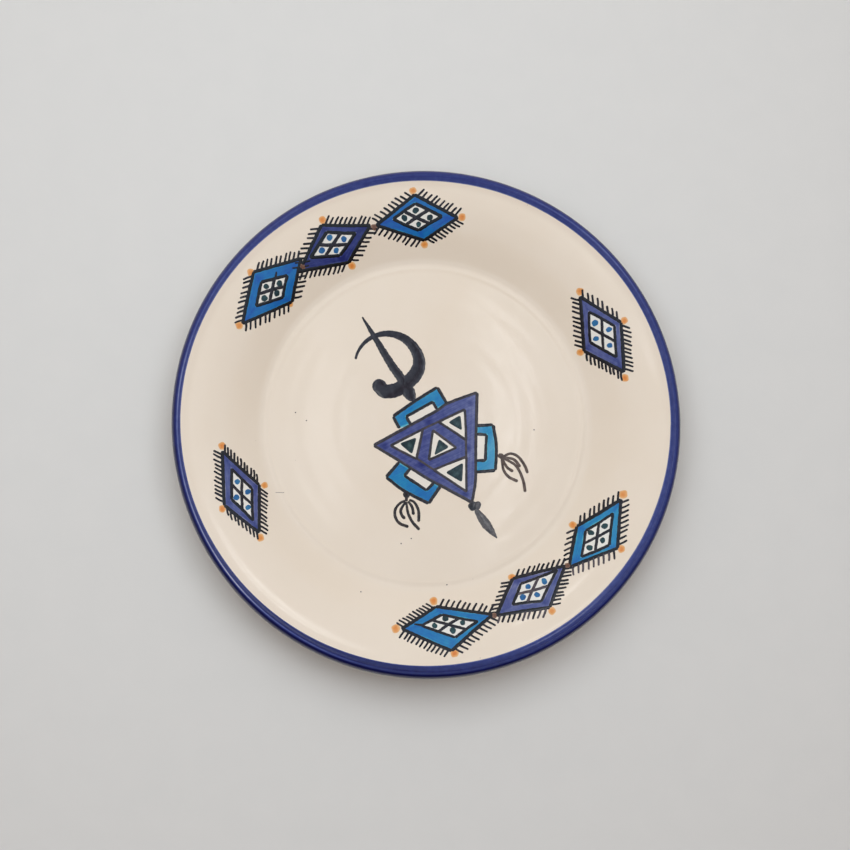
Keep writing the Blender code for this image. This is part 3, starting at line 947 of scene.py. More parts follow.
# Each lozenge in its own frame on the flange, as (along, outward) from the point at an azimuth
# (degrees) and a radius. Its corners and its window's corners go start, outer, end, inner. The
# fringe has a lean from square (degrees) and a number of strokes for each of the four sides, and
# spots are the orange dots as (along, outward, radius). ticks are stray strokes from the window,
# faded are the sides whose fringe was brushed dry, load is how heavily the field was painted, and
# cross_ink the cross in its window.
LOZENGES = {
    "lozenge_northwest": dict(
        finish="turquoise", load=1.18, azimuth=139.7, radius=97.1,
        corners=((-19.8, -1.1), (0.2, 11.0), (21.6, -0.7), (-2.3, -10.8)),
        window=((-9.7, -1.4), (1.2, 5.4), (11.1, 0.0), (-0.7, -6.4)),
        leans=(30, 32, 27, 26), counts=(10, 10, 10, 8),
        spots=((1.2, 12.3, 1.7), (23.9, -0.1, 1.7), (-1.1, -11.0, 1.6)),
        ticks=(((-4.6, 1.6), (-7.4, 3.4)),),
    ),
    "lozenge_north_northwest": dict(
        finish="cobalt", load=1.32, azimuth=117.3, radius=95.3,
        corners=((-18.4, 0.7), (2.6, 10.5), (21.3, -3.8), (-2.0, -9.7)),
        window=((-10.6, 0.6), (1.7, 6.8), (13.9, -0.4), (0.6, -5.3)),
        leans=(26, 32, 33, 32), counts=(10, 9, 10, 8),
        spots=((1.1, 12.9, 1.7), (-2.9, -12.2, 1.7)),
    ),
    "lozenge_north": dict(
        finish="turquoise", load=1.28, azimuth=92.8, radius=97.2,
        corners=((-18.8, 0.1), (1.5, 11.1), (20.0, -2.1), (-2.8, -9.2)),
        window=((-11.3, 0.9), (1.3, 7.2), (12.1, 0.4), (-0.1, -4.8)),
        leans=(18, 22, 21, 28), counts=(10, 9, 10, 9),
        spots=((2.4, 13.5, 1.6), (-21.3, 0.2, 1.7), (-3.0, -11.6, 1.6)),
    ),
    "lozenge_east": dict(
        finish="cobalt", load=0.9, azimuth=27.0, radius=93.8,
        corners=((-20.2, 1.0), (1.4, 10.1), (21.3, -1.0), (-2.5, -10.1)),
        window=((-12.3, 1.2), (1.3, 6.8), (13.0, -0.4), (-0.2, -6.0)),
        leans=(24, 41, 27, 38), counts=(11, 8, 11, 10),
        spots=((24.0, -0.1, 1.7), (1.5, 12.3, 1.6), (-2.3, -12.3, 1.6), (-23.5, 0.1, 1.7)),
    ),
    "lozenge_west": dict(
        finish="cobalt", load=0.95, azimuth=-158.8, radius=93.75,
        corners=((-21.4, 1.3), (2.5, 9.3), (19.9, -1.3), (-1.0, -9.3)),
        window=((-12.3, 0.1), (1.1, 5.2), (13.7, -0.6), (-0.5, -5.5)),
        leans=(28, 48, 33, 42), counts=(12, 9, 11, 11),
        spots=((-24.3, 0.5, 1.7), (-0.1, -12.1, 1.5), (4.0, 11.2, 1.6), (23.0, -1.0, 1.7)),
    ),
    "lozenge_south": dict(
        finish="turquoise", load=0.95, azimuth=-85.1, radius=95.4,
        corners=((-20.6, -0.1), (1.4, 12.0), (22.5, -3.0), (-3.3, -8.9)),
        window=((-11.3, -0.7), (3.8, 6.1), (15.2, -0.5), (-1.0, -5.0)),
        leans=(11, 22, 22, 27), counts=(12, 10, 10, 10),
        spots=((-4.2, -12.1, 1.8), (-23.9, -0.4, 1.9), (2.8, 13.7, 1.8)),
        ticks=(((-10.6, -0.9), (-14.6, -1.7)),),
    ),
    "lozenge_south_southeast": dict(
        finish="cobalt", load=0.9, azimuth=-58.4, radius=93.7,
        corners=((-20.0, 0.3), (2.9, 10.0), (19.9, -2.4), (-3.7, -10.0)),
        window=((-10.9, 0.0), (1.3, 5.6), (15.8, -2.7), (-2.0, -6.1)),
        leans=(30, 30, 37, 36), counts=(10, 10, 10, 8),
        spots=((-3.8, -11.1, 1.7), (3.0, 12.3, 1.7)),
        faded=(0,), cross_ink=0.5,
    ),
    "lozenge_southeast": dict(
        finish="turquoise", load=0.88, azimuth=-33.3, radius=95.8,
        corners=((-20.1, -2.7), (-0.4, 11.0), (20.2, 0.4), (-1.3, -9.6)),
        window=((-12.9, -0.6), (-1.2, 7.2), (12.6, 0.8), (-1.1, -5.3)),
        leans=(22, 31, 37, 37), counts=(9, 9, 9, 7),
        spots=((-1.8, -11.9, 1.7), (23.3, 0.0, 1.9), (0.2, 13.1, 1.7)),
        faded=(0,),
    ),
}

# The brown dots where two lozenges of a row meet: the lozenge, and the place in its frame.
JOINS = (
    ("lozenge_northwest", (-17.6, -3.9)),
    ("lozenge_north_northwest", (-19.7, -0.8)),
    ("lozenge_south", (23.3, -2.8)),
    ("lozenge_south_southeast", (21.1, -1.8)),
)
JOIN_RADIUS = 1.5
OUTLINE_WIDTH = 1.7
WINDOW_LINE_WIDTH = 1.5
CROSS_WIDTHS = (1.45, 1.55, 1.35)
FRINGE_WIDTH = 1.05
FRINGE_LENGTH = (3.3, 4.3)
# The range of a stroke's width at its root and at its tip, as parts of FRINGE_WIDTH, and how far it
# may stray from its even place (in strokes) and from its side's lean (in degrees).
FRINGE_TAPER = ((0.95, 1.15), (0.8, 0.98))
FRINGE_SHIFT = 0.08
FRINGE_TILT = 3.0
DOT_RADIUS = 1.5
DOT_JITTER = 0.4
# How much wider the soft edge of an orange dot makes it, and how far it is tucked under the outline.
SPOT_SPREAD = 1.08
SPOT_TUCK = 0.5
FADED_INK = 0.5


def on_flange(lozenge, pairs):
    """Plan positions of (along, outward) pairs in a lozenge's frame."""
    turn = math.radians(lozenge["azimuth"])
    outward = np.array([math.cos(turn), math.sin(turn)])
    along = np.array([-outward[1], outward[0]])
    pairs = np.array(pairs, float)
    return outward * (lozenge["radius"] + pairs[:, 1:2]) + along * pairs[:, 0:1]


def offset_outline(corners, depth):
    """An outline with its sides moved in by depth, or out where depth is negative."""
    middle = corners.mean(axis=0)
    lines = []
    for start, end in zip(corners, np.roll(corners, -1, axis=0)):
        along = direction(start, end)
        normal = left_of(along)
        if np.dot(middle - start, normal) < 0:
            normal = -normal
        lines.append((start + normal * depth, along))
    result = []
    for k in range(len(lines)):
        (first, one), (second, two) = lines[k - 1], lines[k]
        scale = np.cross(second - first, two) / np.cross(one, two)
        result.append(first + one * scale)
    return np.array(result)


# The grid of a lozenge's enamel: points along each side, and across its band.
FIELD_ALONG = 44
FIELD_ACROSS = 13


def lozenge_field(paint, lozenge, name, corners, window):
    """The enamel between the outline and the window, brushed round the four sides."""
    outer = offset_outline(corners, 0.3)
    inner = offset_outline(window, -0.15)
    draw = random.Random(name + " field")
    rows, flows, loads, lifts = [], [], [], []
    run = 0.0
    for side in range(4):
        a, b = outer[side], outer[(side + 1) % 4]
        c, d = inner[side], inner[(side + 1) % 4]
        length = float(np.hypot(*(b - a)))
        load = lozenge["load"] + draw.uniform(-0.09, 0.09)
        lean = draw.uniform(-0.12, 0.12)
        phase = draw.uniform(0.0, math.tau)
        for part in np.arange(FIELD_ALONG) / FIELD_ALONG:
            start = a + (b - a) * part
            end = c + (d - c) * part
            width = float(np.hypot(*(end - start)))
            u = np.linspace(0.0, 1.0, FIELD_ACROSS)
            rows.append(start + (end - start) * u[:, None])
            station = np.full(FIELD_ACROSS, run + part * length)
            flows.append(np.column_stack([station, u * width, np.full(FIELD_ACROSS, phase)]))
            near_edge = np.minimum(u, 1.0 - u) * width
            gap = 0.85 + 0.3 * math.sin(part * 9.0 + phase)
            from_corner = min(part, 1.0 - part) * length
            pool = 0.30 * math.exp(-((from_corner / 1.5) ** 2))
            ramp = 1.0 + lean * (2.0 * part - 1.0) + 0.07 * math.sin(part * 5.3 + phase * 1.7)
            loads.append((load * ramp + pool) * (0.25 + 0.75 * smoothstep(near_edge, 0.02, gap)))
            lifts.append(FIELD_HEIGHT * (0.2 + 0.8 * smoothstep(near_edge, 0.0, 0.35)))
        run += length
    loads = np.array(loads)
    loads = sum(np.roll(loads, shift, axis=0) for shift in range(-2, 3)) / 5.0
    faces = grid_faces(4 * FIELD_ALONG, FIELD_ACROSS, closed=True)
    paint.add(np.vstack(rows), faces, np.concatenate(lifts), loads.ravel(), np.vstack(flows))


def quad_strokes(paint, corners, width, seed, ink, over=0.35):
    """The four brush lines round a quad, each running a little past its corners."""
    draw = random.Random(seed)
    for side in range(4):
        start = corners[side]
        end = corners[(side + 1) % 4]
        along = direction(start, end)
        bow = left_of(along) * draw.uniform(-0.22, 0.22)
        start = start - along * draw.uniform(0.0, over)
        end = end + along * draw.uniform(0.0, over)
        middle = (start + end) / 2 + bow
        load = ink * draw.uniform(0.92, 1.08)
        widths = [width * draw.uniform(0.9, 1.1) for _ in range(4)]
        brush(paint, (start, middle, end), widths, f"{seed} side {side}", load)


def fringe(paint, lozenge, name, corners):
    """The combed strokes that stand out from the four sides."""
    middle = corners.mean(axis=0)
    for side in range(4):
        draw = random.Random(f"{name} fringe {side}")
        start = corners[side]
        end = corners[(side + 1) % 4]
        length = float(np.hypot(*(end - start)))
        along = direction(start, end)
        normal = left_of(along)
        if np.dot(start - middle, normal) < 0:
            normal = -normal
        to_tip = -along if side in (0, 2) else along
        lean = math.radians(lozenge["leans"][side])
        count = lozenge["counts"][side]
        faded = side in lozenge.get("faded", ())
        for number in range(count):
            part = (number + 0.5 + draw.uniform(-FRINGE_SHIFT, FRINGE_SHIFT)) / count
            part = 0.02 + 0.96 * part
            root = start + along * length * part
            tilt = lean + math.radians(draw.uniform(-FRINGE_TILT, FRINGE_TILT))
            reach = draw.uniform(*FRINGE_LENGTH)
            aim = normal * math.cos(tilt) + to_tip * math.sin(tilt)
            bend = (normal - to_tip * 0.4) * draw.uniform(-0.05, 0.28)
            tip = root + aim * (OUTLINE_WIDTH / 2 + reach)
            path = (root, (root + tip) / 2 + bend, tip)
            widths = [FRINGE_WIDTH * draw.uniform(*part) for part in FRINGE_TAPER]
            ink = FADED_INK if faded and draw.random() < 0.7 else draw.uniform(0.85, 1.05)
            brush(paint, path, widths, f"{name} fringe {side} {number}", ink, 0.15, wobble=0.03)


def window_parts(window):
    """The middle of a window, the middles of its sides, and the middles of its four cells."""
    halves = (window + np.roll(window, -1, axis=0)) / 2
    centre = window.mean(axis=0)
    cells = [(window[k] + halves[k] + centre + halves[k - 1]) / 4 for k in range(4)]
    return centre, halves, cells


def make_lozenges(materials):
    """The eight lozenges of the flange, with the dots that they share."""
    windows, orange, brown = Paint(), Paint(), Paint()
    dots = {"cobalt": Paint(), "turquoise": Paint()}
    for name, lozenge in LOZENGES.items():
        corners = on_flange(lozenge, lozenge["corners"])
        window = on_flange(lozenge, lozenge["window"])
        enamel = lozenge["finish"] + "_enamel"
        field = Paint()
        lozenge_field(field, lozenge, name, corners, window)
        field.build(name + "_field", materials[enamel], enamel, name)

        lines = Paint()
        ink = 1.0 + 0.5 * (lozenge["load"] - 1.0)
        quad_strokes(lines, corners, OUTLINE_WIDTH, name + " outline", ink)
        quad_strokes(lines, window, WINDOW_LINE_WIDTH * ink, name + " window", ink)
        centre, halves, cells = window_parts(window)
        cross_ink = lozenge.get("cross_ink", 0.85)
        draw = random.Random(name + " cross")
        for one, other in ((0, 2), (1, 3)):
            middle = centre + np.array([draw.uniform(-0.3, 0.3), draw.uniform(-0.3, 0.3)])
            path = (halves[one], middle, halves[other])
            brush(lines, path, np.array(CROSS_WIDTHS) * ink, f"{name} cross {one}", cross_ink, 0.1)
        for number, (start, end) in enumerate(lozenge.get("ticks", ())):
            path = on_flange(lozenge, (start, end))
            brush(lines, path, (1.4, 0.9), f"{name} tick {number}")
        fringe(lines, lozenge, name, corners)
        lines.build(name + "_lines", materials["black_enamel"], "black_enamel")

        patch(windows, rounded(window, 0.4), [], name, WINDOW_HEIGHT, 0.8, 0.0)
        for number, cell in enumerate(cells):
            place = cell + np.array([draw.uniform(-1, 1), draw.uniform(-1, 1)]) * DOT_JITTER
            size = DOT_RADIUS * draw.uniform(0.9, 1.12)
            stretch = (draw.uniform(1.0, 1.1), draw.uniform(0.0, 180.0))
            ink = draw.uniform(0.85, 1.1)
            dot(dots[lozenge["finish"]], place, size, f"{name} dot {number}", ink=ink, stretch=stretch)
        for number, (along, outward, radius) in enumerate(lozenge["spots"]):
            place = on_flange(lozenge, ((along, outward),))[0]
            place = place + direction(place, corners.mean(axis=0)) * SPOT_TUCK
            dot(orange, place, radius * SPOT_SPREAD, f"{name} spot {number}", SPOT_HEIGHT, 0.6)
    for number, (name, pair) in enumerate(JOINS):
        place = on_flange(LOZENGES[name], (pair,))[0]
        dot(brown, place, JOIN_RADIUS, f"join {number}", LINE_HEIGHT * 1.25, 0.25)
    windows.build("lozenge_windows", materials["white_enamel"], "cream_glaze")
    orange.build("lozenge_orange_spots", materials["orange_enamel"], "orange_enamel")
    brown.build("lozenge_brown_joins", materials["brown_enamel"], "orange_enamel")
    dots["cobalt"].build("lozenge_blue_dots", materials["blue_enamel"], "turquoise_enamel")
    dots["turquoise"].build("lozenge_green_dots", materials["green_enamel"], "teal_enamel")


# ---- the brooch ----------------------------------------------------------------------------------

LATTICE = ((-25.1, -10.2), (24.3, 15.6), (21.7, -37.0))
LATTICE_WINDOWS = (
    ((7.1, 1.2), (17.8, 6.4), (18.3, -6.1)),
    ((-15.7, -10.2), (-2.6, -3.4), (-5.2, -15.6)),
    ((3.6, -3.9), (13.0, -10.9), (2.0, -15.9)),
    ((4.8, -21.8), (18.5, -16.2), (18.5, -30.8)),
)
HEARTS = (
    ((10.6, 1.1), (16.2, 4.5), (16.9, -2.5)),
    ((-12.6, -9.2), (-4.9, -6.4), (-6.9, -14.1)),
    ((3.9, -14.5), (6.0, -7.0), (10.7, -10.7)),
    ((9.3, -22.9), (17.4, -18.3), (16.9, -27.3)),
)
# The edge lines of the lattice's bands, where they carry on between one window and the next.
LATTICE_LINKS = (((-2.6, -2.6), (7.1, 2.0)), ((18.9, -6.1), (19.0, -16.2)), ((-4.6, -16.3), (4.8, -22.4)))
LATTICE_INK = 0.66
# Where the lattice's strokes cross and their paint pooled dark: place and size.
POOLS = (
    (1.3, 0.8, 1.8), (19.8, -11.1, 1.5), (-2.5, -19.2, 1.9),
    (20.9, 10.5, 1.2), (-20.3, -10.5, 1.8), (18.8, -33.2, 1.3),
)
LATTICE_LINE = 1.45
# How far each side of the lattice bows out, as (share of the side, out).
LATTICE_BOWS = (
    ((0.35, 0.6), (0.62, 1.0), (0.73, 1.8)),
    ((0.5, 0.6), (0.8, 1.2)),
    ((0.3, 0.5), (0.45, 0.8), (0.75, 0.2)),
)

# A bracket as (side of the lattice, outer line from foot to foot, slot), its points as (along, out)
# in its own frame on that side.
BRACKETS = {
    "fibula_bracket_top": (
        0,
        ((14.7, 1.6), (14.6, 8.1), (27.2, 9.8), (39.8, 10.9), (40.3, 1.6)),
        ((20.3, 1.0), (20.1, 5.2), (34.8, 5.7), (34.9, 1.8)),
    ),
    "fibula_bracket_right": (
        1,
        ((16.0, 0.6), (15.1, 8.4), (25.3, 10.4), (36.8, 10.5), (38.1, 1.2)),
        ((20.0, 0.8), (20.1, 5.6), (32.3, 5.6), (32.7, 1.0)),
    ),
    "fibula_bracket_bottom": (
        2,
        ((16.9, 1.0), (17.6, 10.8), (30.9, 11.4), (41.3, 10.1), (39.5, 0.8)),
        ((20.4, 1.0), (21.6, 5.9), (34.2, 5.2), (33.5, 0.7)),
    ),
}
BRACKET_LOADS = (0.9, 0.8, 1.03)
BRACKET_LINE = 1.6
# How heavily the white of the brooch's windows and slots is painted.
PANE_LOAD = 0.55

# The ring sweeps clockwise from a hair line. It keeps its radius until it turns down, closes in
# from there, and hooks up into a round end.
RING_CENTRE = (-18.7, 28.0)
RING_RADIUS = 15.5
RING_DRAWN_IN = 3.2
RING_START = 169.0
RING_END = -92.0
RING_HOOK = ((-20.7, 16.2), (-22.3, 17.9), (-23.9, 21.4))
RING_THIN = 1.2
RING_THICK = 6.8
PIN = ((-30.8, 51.4), (-25.0, 42.0), (-17.1, 29.0), (-13.2, 23.6), (-10.3, 18.9))
PIN_WIDTHS = (0.8, 2.4, 3.4, 4.1, 4.6)
LOBE = ((-10.9, 19.5), (-8.6, 15.6), (-6.2, 11.2))
LOBE_WIDTHS = (4.8, 6.5, 3.4)

TASSELS = {
    "fibula_tassel_bottom": {
        "knot": (-9.5, -33.6, 1.6),
        "ink": 0.95,
        "strands": (
            ((-9.5, -33.8), (-9.6, -36.8)),
            ((-9.9, -36.3), (-12.7, -37.7), (-14.8, -40.7), (-14.8, -44.0), (-12.9, -47.0), (-8.5, -48.8)),
            ((-9.9, -36.9), (-12.1, -40.7), (-11.8, -43.1), (-10.2, -45.0)),
            ((-9.6, -36.9), (-8.8, -42.0), (-6.9, -46.1), (-3.3, -50.2)),
            ((-8.8, -36.6), (-6.9, -39.3), (-6.1, -43.1)),
            ((-8.3, -36.0), (-5.8, -37.1), (-3.9, -40.6), (-3.6, -44.2), (-3.8, -46.4)),
        ),
    },
    "fibula_tassel_right": {
        "knot": (35.6, -14.8, 1.4),
        "ink": 0.55,
        "strands": (
            ((36.5, -15.2), (40.5, -13.6), (44.2, -15.3), (47.3, -19.7), (48.5, -23.0)),
            ((36.5, -15.4), (41.8, -16.4), (45.0, -20.0)),
            ((36.4, -15.6), (42.7, -19.3), (46.1, -25.7), (47.3, -32.0)),
            ((36.2, -15.8), (38.6, -20.2), (41.6, -22.2)),
            ((36.0, -15.9), (36.9, -21.3), (39.3, -24.7), (43.8, -26.9)),
        ),
    },
}
STRAND_WIDTHS = (1.15, 1.4, 1.5)
DROP_KNOT = (22.1, -38.8, 2.2)
DROP_FOLD = (24.3, -38.4, 1.9)
DROP_LEAF = ((23.4, -40.3), (25.4, -43.1), (27.4, -45.9), (30.4, -49.9), (33.7, -54.0))
DROP_LEAF_WIDTHS = (2.0, 3.9, 4.7, 3.3, 0.5)

# Flecks of iron and one scratch on the glaze.
SPECKS = (
    (-57.1, 1.4), (-62.3, 5.2), (-7.2, -54.3), (-12.0, -56.7),
    (-31.2, -79.5), (9.7, -76.1), (51.7, -2.1),
)
SPECK_RADIUS = 0.35
SPECK_HEIGHT = 0.01
SCRATCH = ((-71.5, -32.9), (-67.3, -32.9))
SCRATCH_WIDTHS = (0.25, 0.2)
SCRATCH_HEIGHT = 0.008


def outline_strokes(paint, outline, width, seed, ink, closed=True, over=0.25):
    """A brush line along each side of an outline."""
    outline = np.array(outline, float)
    draw = random.Random(seed)
    count = len(outline) if closed else len(outline) - 1
    for side in range(count):
        start = outline[side]
        end = outline[(side + 1) % len(outline)]
        along = direction(start, end)
        middle = (start + end) / 2 + left_of(along) * draw.uniform(-0.15, 0.15)
        path = (start - along * draw.uniform(0, over), middle, end + along * draw.uniform(0, over))
        widths = [width * draw.uniform(0.88, 1.12) for _ in range(4)]
        brush(paint, path, widths, f"{seed} {side}", ink * draw.uniform(0.92, 1.08), wobble=0.05)


def band_streaks(points, seed):
    """Soft streaks that run along the lattice's sides, from -1 to 1."""
    lattice = np.array(LATTICE)
    total = np.zeros(len(points))
    weight = np.zeros(len(points))
    draw = random.Random(seed)
    for start, end in zip(lattice, np.roll(lattice, -1, axis=0)):
        along = direction(start, end)
        relative = points - start
        run = relative @ along
        off = relative @ left_of(along)
        near = np.exp(-((off / 4.0) ** 2))
        pattern = np.sin(off * 3.4 + draw.uniform(0, 6)) * 0.6
        pattern = pattern + np.sin(run * 0.35 + draw.uniform(0, 6)) * 0.5
        total += near * pattern
        weight += near
    return total / np.maximum(weight, 0.05)


def lattice_density(points, edge):
    """Cobalt brushed along the bands, pooled where the strokes cross, thin at the edges."""
    density = 0.98 - 0.16 * smoothstep(points[:, 0], 17.0, 20.0)
    density = density + 0.10 * band_streaks(points, "lattice streaks")
    for x, y, size in POOLS:
        distance = np.hypot(points[:, 0] - x, points[:, 1] - y)
        density = density + 0.6 * np.exp(-((distance / size) ** 2))
    return density * (0.45 + 0.55 * smoothstep(edge, 0.0, 0.4))


def on_side(side, pairs):
    """Plan positions of (along, out) pairs measured from one side of the lattice."""
    start = np.array(LATTICE[side])
    end = np.array(LATTICE[(side + 1) % 3])
    along = direction(start, end)
    pairs = np.array(pairs, float)
    return start + along * pairs[:, 0:1] + left_of(along) * pairs[:, 1:2]


def bowed_side(side):
    """One side of the lattice as a smooth line from corner to corner."""
    length = float(np.hypot(*(np.array(LATTICE[(side + 1) % 3]) - LATTICE[side])))
    pairs = [(0.0, 0.0), *[(share * length, out) for share, out in LATTICE_BOWS[side]], (length, 0.0)]
    return catmull_rom(on_side(side, pairs), 8)


def make_brackets(materials):
    """The three turquoise brackets with their black outlines and white slots."""
    slots = Paint()
    for name, (side, outer, slot) in BRACKETS.items():
        outline = on_side(side, outer)
        slot_line = on_side(side, slot)
        field = Paint()
        band = np.vstack([outline, slot_line[::-1]])
        phase = random.Random(name).uniform(0.0, 6.0)

        def density(points, edge, load=BRACKET_LOADS[side], phase=phase):
            drift = np.sin(points[:, 0] * 0.31 + phase) + np.sin(points[:, 1] * 0.43 + phase * 2)
            return (load + 0.07 * drift) * (0.35 + 0.65 * smoothstep(edge, 0.5, 0.95))

        patch(field, rounded(band, 0.5), [], name, FIELD_HEIGHT, density, 30.0)
        field.build(name + "_field", materials["turquoise_enamel"], "turquoise_enamel", name)
        lines = Paint()
        widths = (BRACKET_LINE * 1.1, BRACKET_LINE)
        for number, part in enumerate((outline[:2], outline[1:4], outline[3:])):
            brush(lines, part, widths, f"{name} outer {number}", 0.9, wobble=0.06)
        outline_strokes(lines, slot_line, BRACKET_LINE, name + " slot", 0.86, closed=False)
        lines.build(name + "_lines", materials["black_enamel"], "black_enamel")
        patch(slots, rounded(slot_line, 0.3), [], name + " pane", WINDOW_HEIGHT, PANE_LOAD, 0.0)
    return slots


def make_lattice(materials, panes):
    """The triangular lattice, its outlines, its white windows and their hearts."""
    field = Paint()
    windows = [np.array(window) for window in LATTICE_WINDOWS]
    holes = [rounded(offset_outline(window, -0.3), 0.4) for window in windows]
    outline = np.vstack([bowed_side(side)[:-1] for side in range(3)])
    patch(field, rounded(outline, 0.4, 2), holes, "lattice", FIELD_HEIGHT, lattice_density, 27.0)
    field.build("fibula_lattice_field", materials["cobalt_enamel"], "cobalt_enamel", "fibula_lattice")
    lines = Paint()
    for side in range(3):
        widths = (LATTICE_LINE * 1.15, LATTICE_LINE)
        seed = f"lattice outline {side}"
        brush(lines, bowed_side(side)[::4], widths, seed, LATTICE_INK, wobble=0.05)
    for number, link in enumerate(LATTICE_LINKS):
        seed = f"lattice link {number}"
        brush(lines, link, LATTICE_LINE * 0.85, seed, LATTICE_INK * 0.9, wobble=0.05)
    for number, window in enumerate(windows, 1):
        edge = offset_outline(window, -0.45 * LATTICE_LINE)
        outline_strokes(lines, edge, LATTICE_LINE * 0.92, f"lattice window {number}", LATTICE_INK)
        pane = rounded(offset_outline(window, -0.25), 0.4)
        patch(panes, pane, [], f"pane {number}", WINDOW_HEIGHT, PANE_LOAD, 0.0)
    lines.build("fibula_lattice_lines", materials["black_enamel"], "black_enamel")
    for number, heart in enumerate(HEARTS, 1):
        piece = Paint()
        middle = np.mean(heart, axis=0)

        def density(points, edge, middle=middle):
            distance = np.hypot(points[:, 0] - middle[0] - 0.3, points[:, 1] - middle[1] + 0.4)
            return 1.12 - 0.40 * np.exp(-((distance / 1.25) ** 2))

        outline = rounded(offset_outline(np.array(heart), -0.25), 1.7, 6)
        patch(piece, outline, [], f"heart {number}", DOT_HEIGHT, density, 60.0)
        name = f"fibula_heart_{number}"
        piece.build(name + "_enamel", materials["teal_enamel"], "teal_enamel", name)
    panes.build("fibula_windows", materials["white_enamel"], "cream_glaze")


def ring_stroke():
    """The ring's path and its widths, from a hair line to its full width by half way."""
    parts = np.linspace(0.0, 1.0, 40)
    degrees = RING_START + (RING_END - RING_START) * parts
    reach = RING_RADIUS - RING_DRAWN_IN * smoothstep(-degrees, -15.0, 50.0)
    turns = np.radians(degrees)
    arc = RING_CENTRE + np.stack([reach * np.cos(turns), reach * np.sin(turns)], -1)
    swell = np.minimum(1.0, parts / 0.66) ** 1.35
    return np.vstack([arc, RING_HOOK]), RING_THIN + (RING_THICK - RING_THIN) * swell


def make_ring_and_pin(materials):
    """The open ring with its round end, and the pin that crosses it."""
    paint = Paint()
    brush(paint, *ring_stroke(), "ring", 1.05, wobble=0.04)
    brush(paint, PIN, PIN_WIDTHS, "pin", 1.05, height=LINE_HEIGHT * 1.1, wobble=0.06)
    brush(paint, LOBE, LOBE_WIDTHS, "lobe", 1.05, height=LINE_HEIGHT * 1.05, wobble=0.05)
    enamel = materials["ring_enamel"]
    paint.build("fibula_ring_and_pin_enamel", enamel, "black_enamel", "fibula_ring_and_pin")


def make_tassels(materials):
    """The two tassels and the drop."""
    for name, tassel in TASSELS.items():
        paint = Paint()
        dot(paint, tassel["knot"][:2], tassel["knot"][2], name + " knot", LINE_HEIGHT, ink=tassel["ink"])
        for number, strand in enumerate(tassel["strands"]):
            brush(paint, strand, STRAND_WIDTHS, f"{name} {number}", tassel["ink"], 0.08, wobble=0.05)
        paint.build(name + "_enamel", materials["umber_enamel"], "black_enamel", name)
    paint = Paint()
    dot(paint, DROP_FOLD[:2], DROP_FOLD[2], "drop fold", LINE_HEIGHT * 0.9, ink=0.95)
    dot(paint, DROP_KNOT[:2], DROP_KNOT[2], "drop knot", LINE_HEIGHT * 1.1, ink=1.6)
    brush(paint, DROP_LEAF, DROP_LEAF_WIDTHS, "drop leaf", 0.95, wobble=0.04)
    paint.build("fibula_drop_enamel", materials["grey_enamel"], "black_enamel", "fibula_drop")


def make_marks(materials):
    """Small iron flecks in the glaze, and one scratch."""
    paint = Paint()
    for number, place in enumerate(SPECKS):
        dot(paint, place, SPECK_RADIUS, f"speck {number}", SPECK_HEIGHT, 0.6, 0.5)
    brush(paint, SCRATCH, SCRATCH_WIDTHS, "scratch", 0.35, height=SCRATCH_HEIGHT)
    paint.build("glaze_specks", materials["black_enamel"], "cream_glaze")


# ---- the studio ----------------------------------------------------------------------------------

# The camera stands a little towards -X and -Y of the plate's axis, and looks at this point.
CAMERA_TARGET = (-1.91, -1.70, 24.0)
CAMERA_TILT = 7.5
CAMERA_AZIMUTH = 230.0
CAMERA_DISTANCE = 898.8
CAMERA_FIELD = 25.0

FLOOR_HALF = 3.0
FLOOR_DROP = 0.05

KEY_AZIMUTH = 107.0
KEY_ELEVATION = 75.0
KEY_DISTANCE = 0.81
KEY_SIZE = 0.85
KEY_POWER = 5.85
KEY_COLOUR = (0.933, 1.0, 1.028)
WORLD_SOUTH = (0.36, 0.295, 0.26)
WORLD_NORTH = (0.60, 0.54, 0.505)
WORLD_OVERHEAD = 0.77

# What the glaze mirrors: a room that is dark to the south and pale to the north, and over the well
# a pale panel, two long soft lights and the dim shape of whoever stands over the plate, each drawn
# where it shows on the well to the camera above.
ROOM_HEIGHT = 1500.0
ROOM_HALF = 3500.0
ROOM_REACH = 2.4
ROOM_GLOW = ((0.045, 0.04, 0.04), (0.60, 0.62, 0.66))
PANEL_HEIGHT = 1400.0
PANEL_RADIUS = 80.0
PANEL_GLOW = (0.52, 0.64, 0.78)
STRIP_HEIGHT = 1000.0
# The two long lights, as (line on the well, glow), and half the width that they show.
STRIP_WIDTH = 5.5
STRIPS = (
    (
        ((-47.4, 55.6), (-48.0, 32.6), (-48.8, 11.0), (-48.7, -10.5), (-45.7, -31.9), (-40.4, -53.2)),
        2.7,
    ),
    (
        (
            (21.2, 66.2), (32.1, 50.6), (40.5, 28.8), (41.6, 4.6),
            (40.3, -17.0), (34.9, -41.0), (23.3, -64.8),
        ),
        4.1,
    ),
)
STRIP_TINT = (0.96, 1.0, 1.05)
# Thin soft lights that show on the flange, as (radius, from azimuth, to azimuth, half width, glow).
FLANGE_ARCS = (
    (110.0, 12.0, 48.0, 1.5, 3.0),
    (110.6, 197.0, 262.0, 0.9, 5.0),
    (103.0, 292.0, 318.0, 1.2, 3.0),
)
SHADE_HEIGHT = 1060.0
SHADE_GLOW = (0.10, 0.04, 0.04)
SHADE = ((-22, -33), (16.2, -44.7), (21.4, -66), (9, -76), (-17.2, -76), (-39.7, -63.8), (-30.2, -53.2))


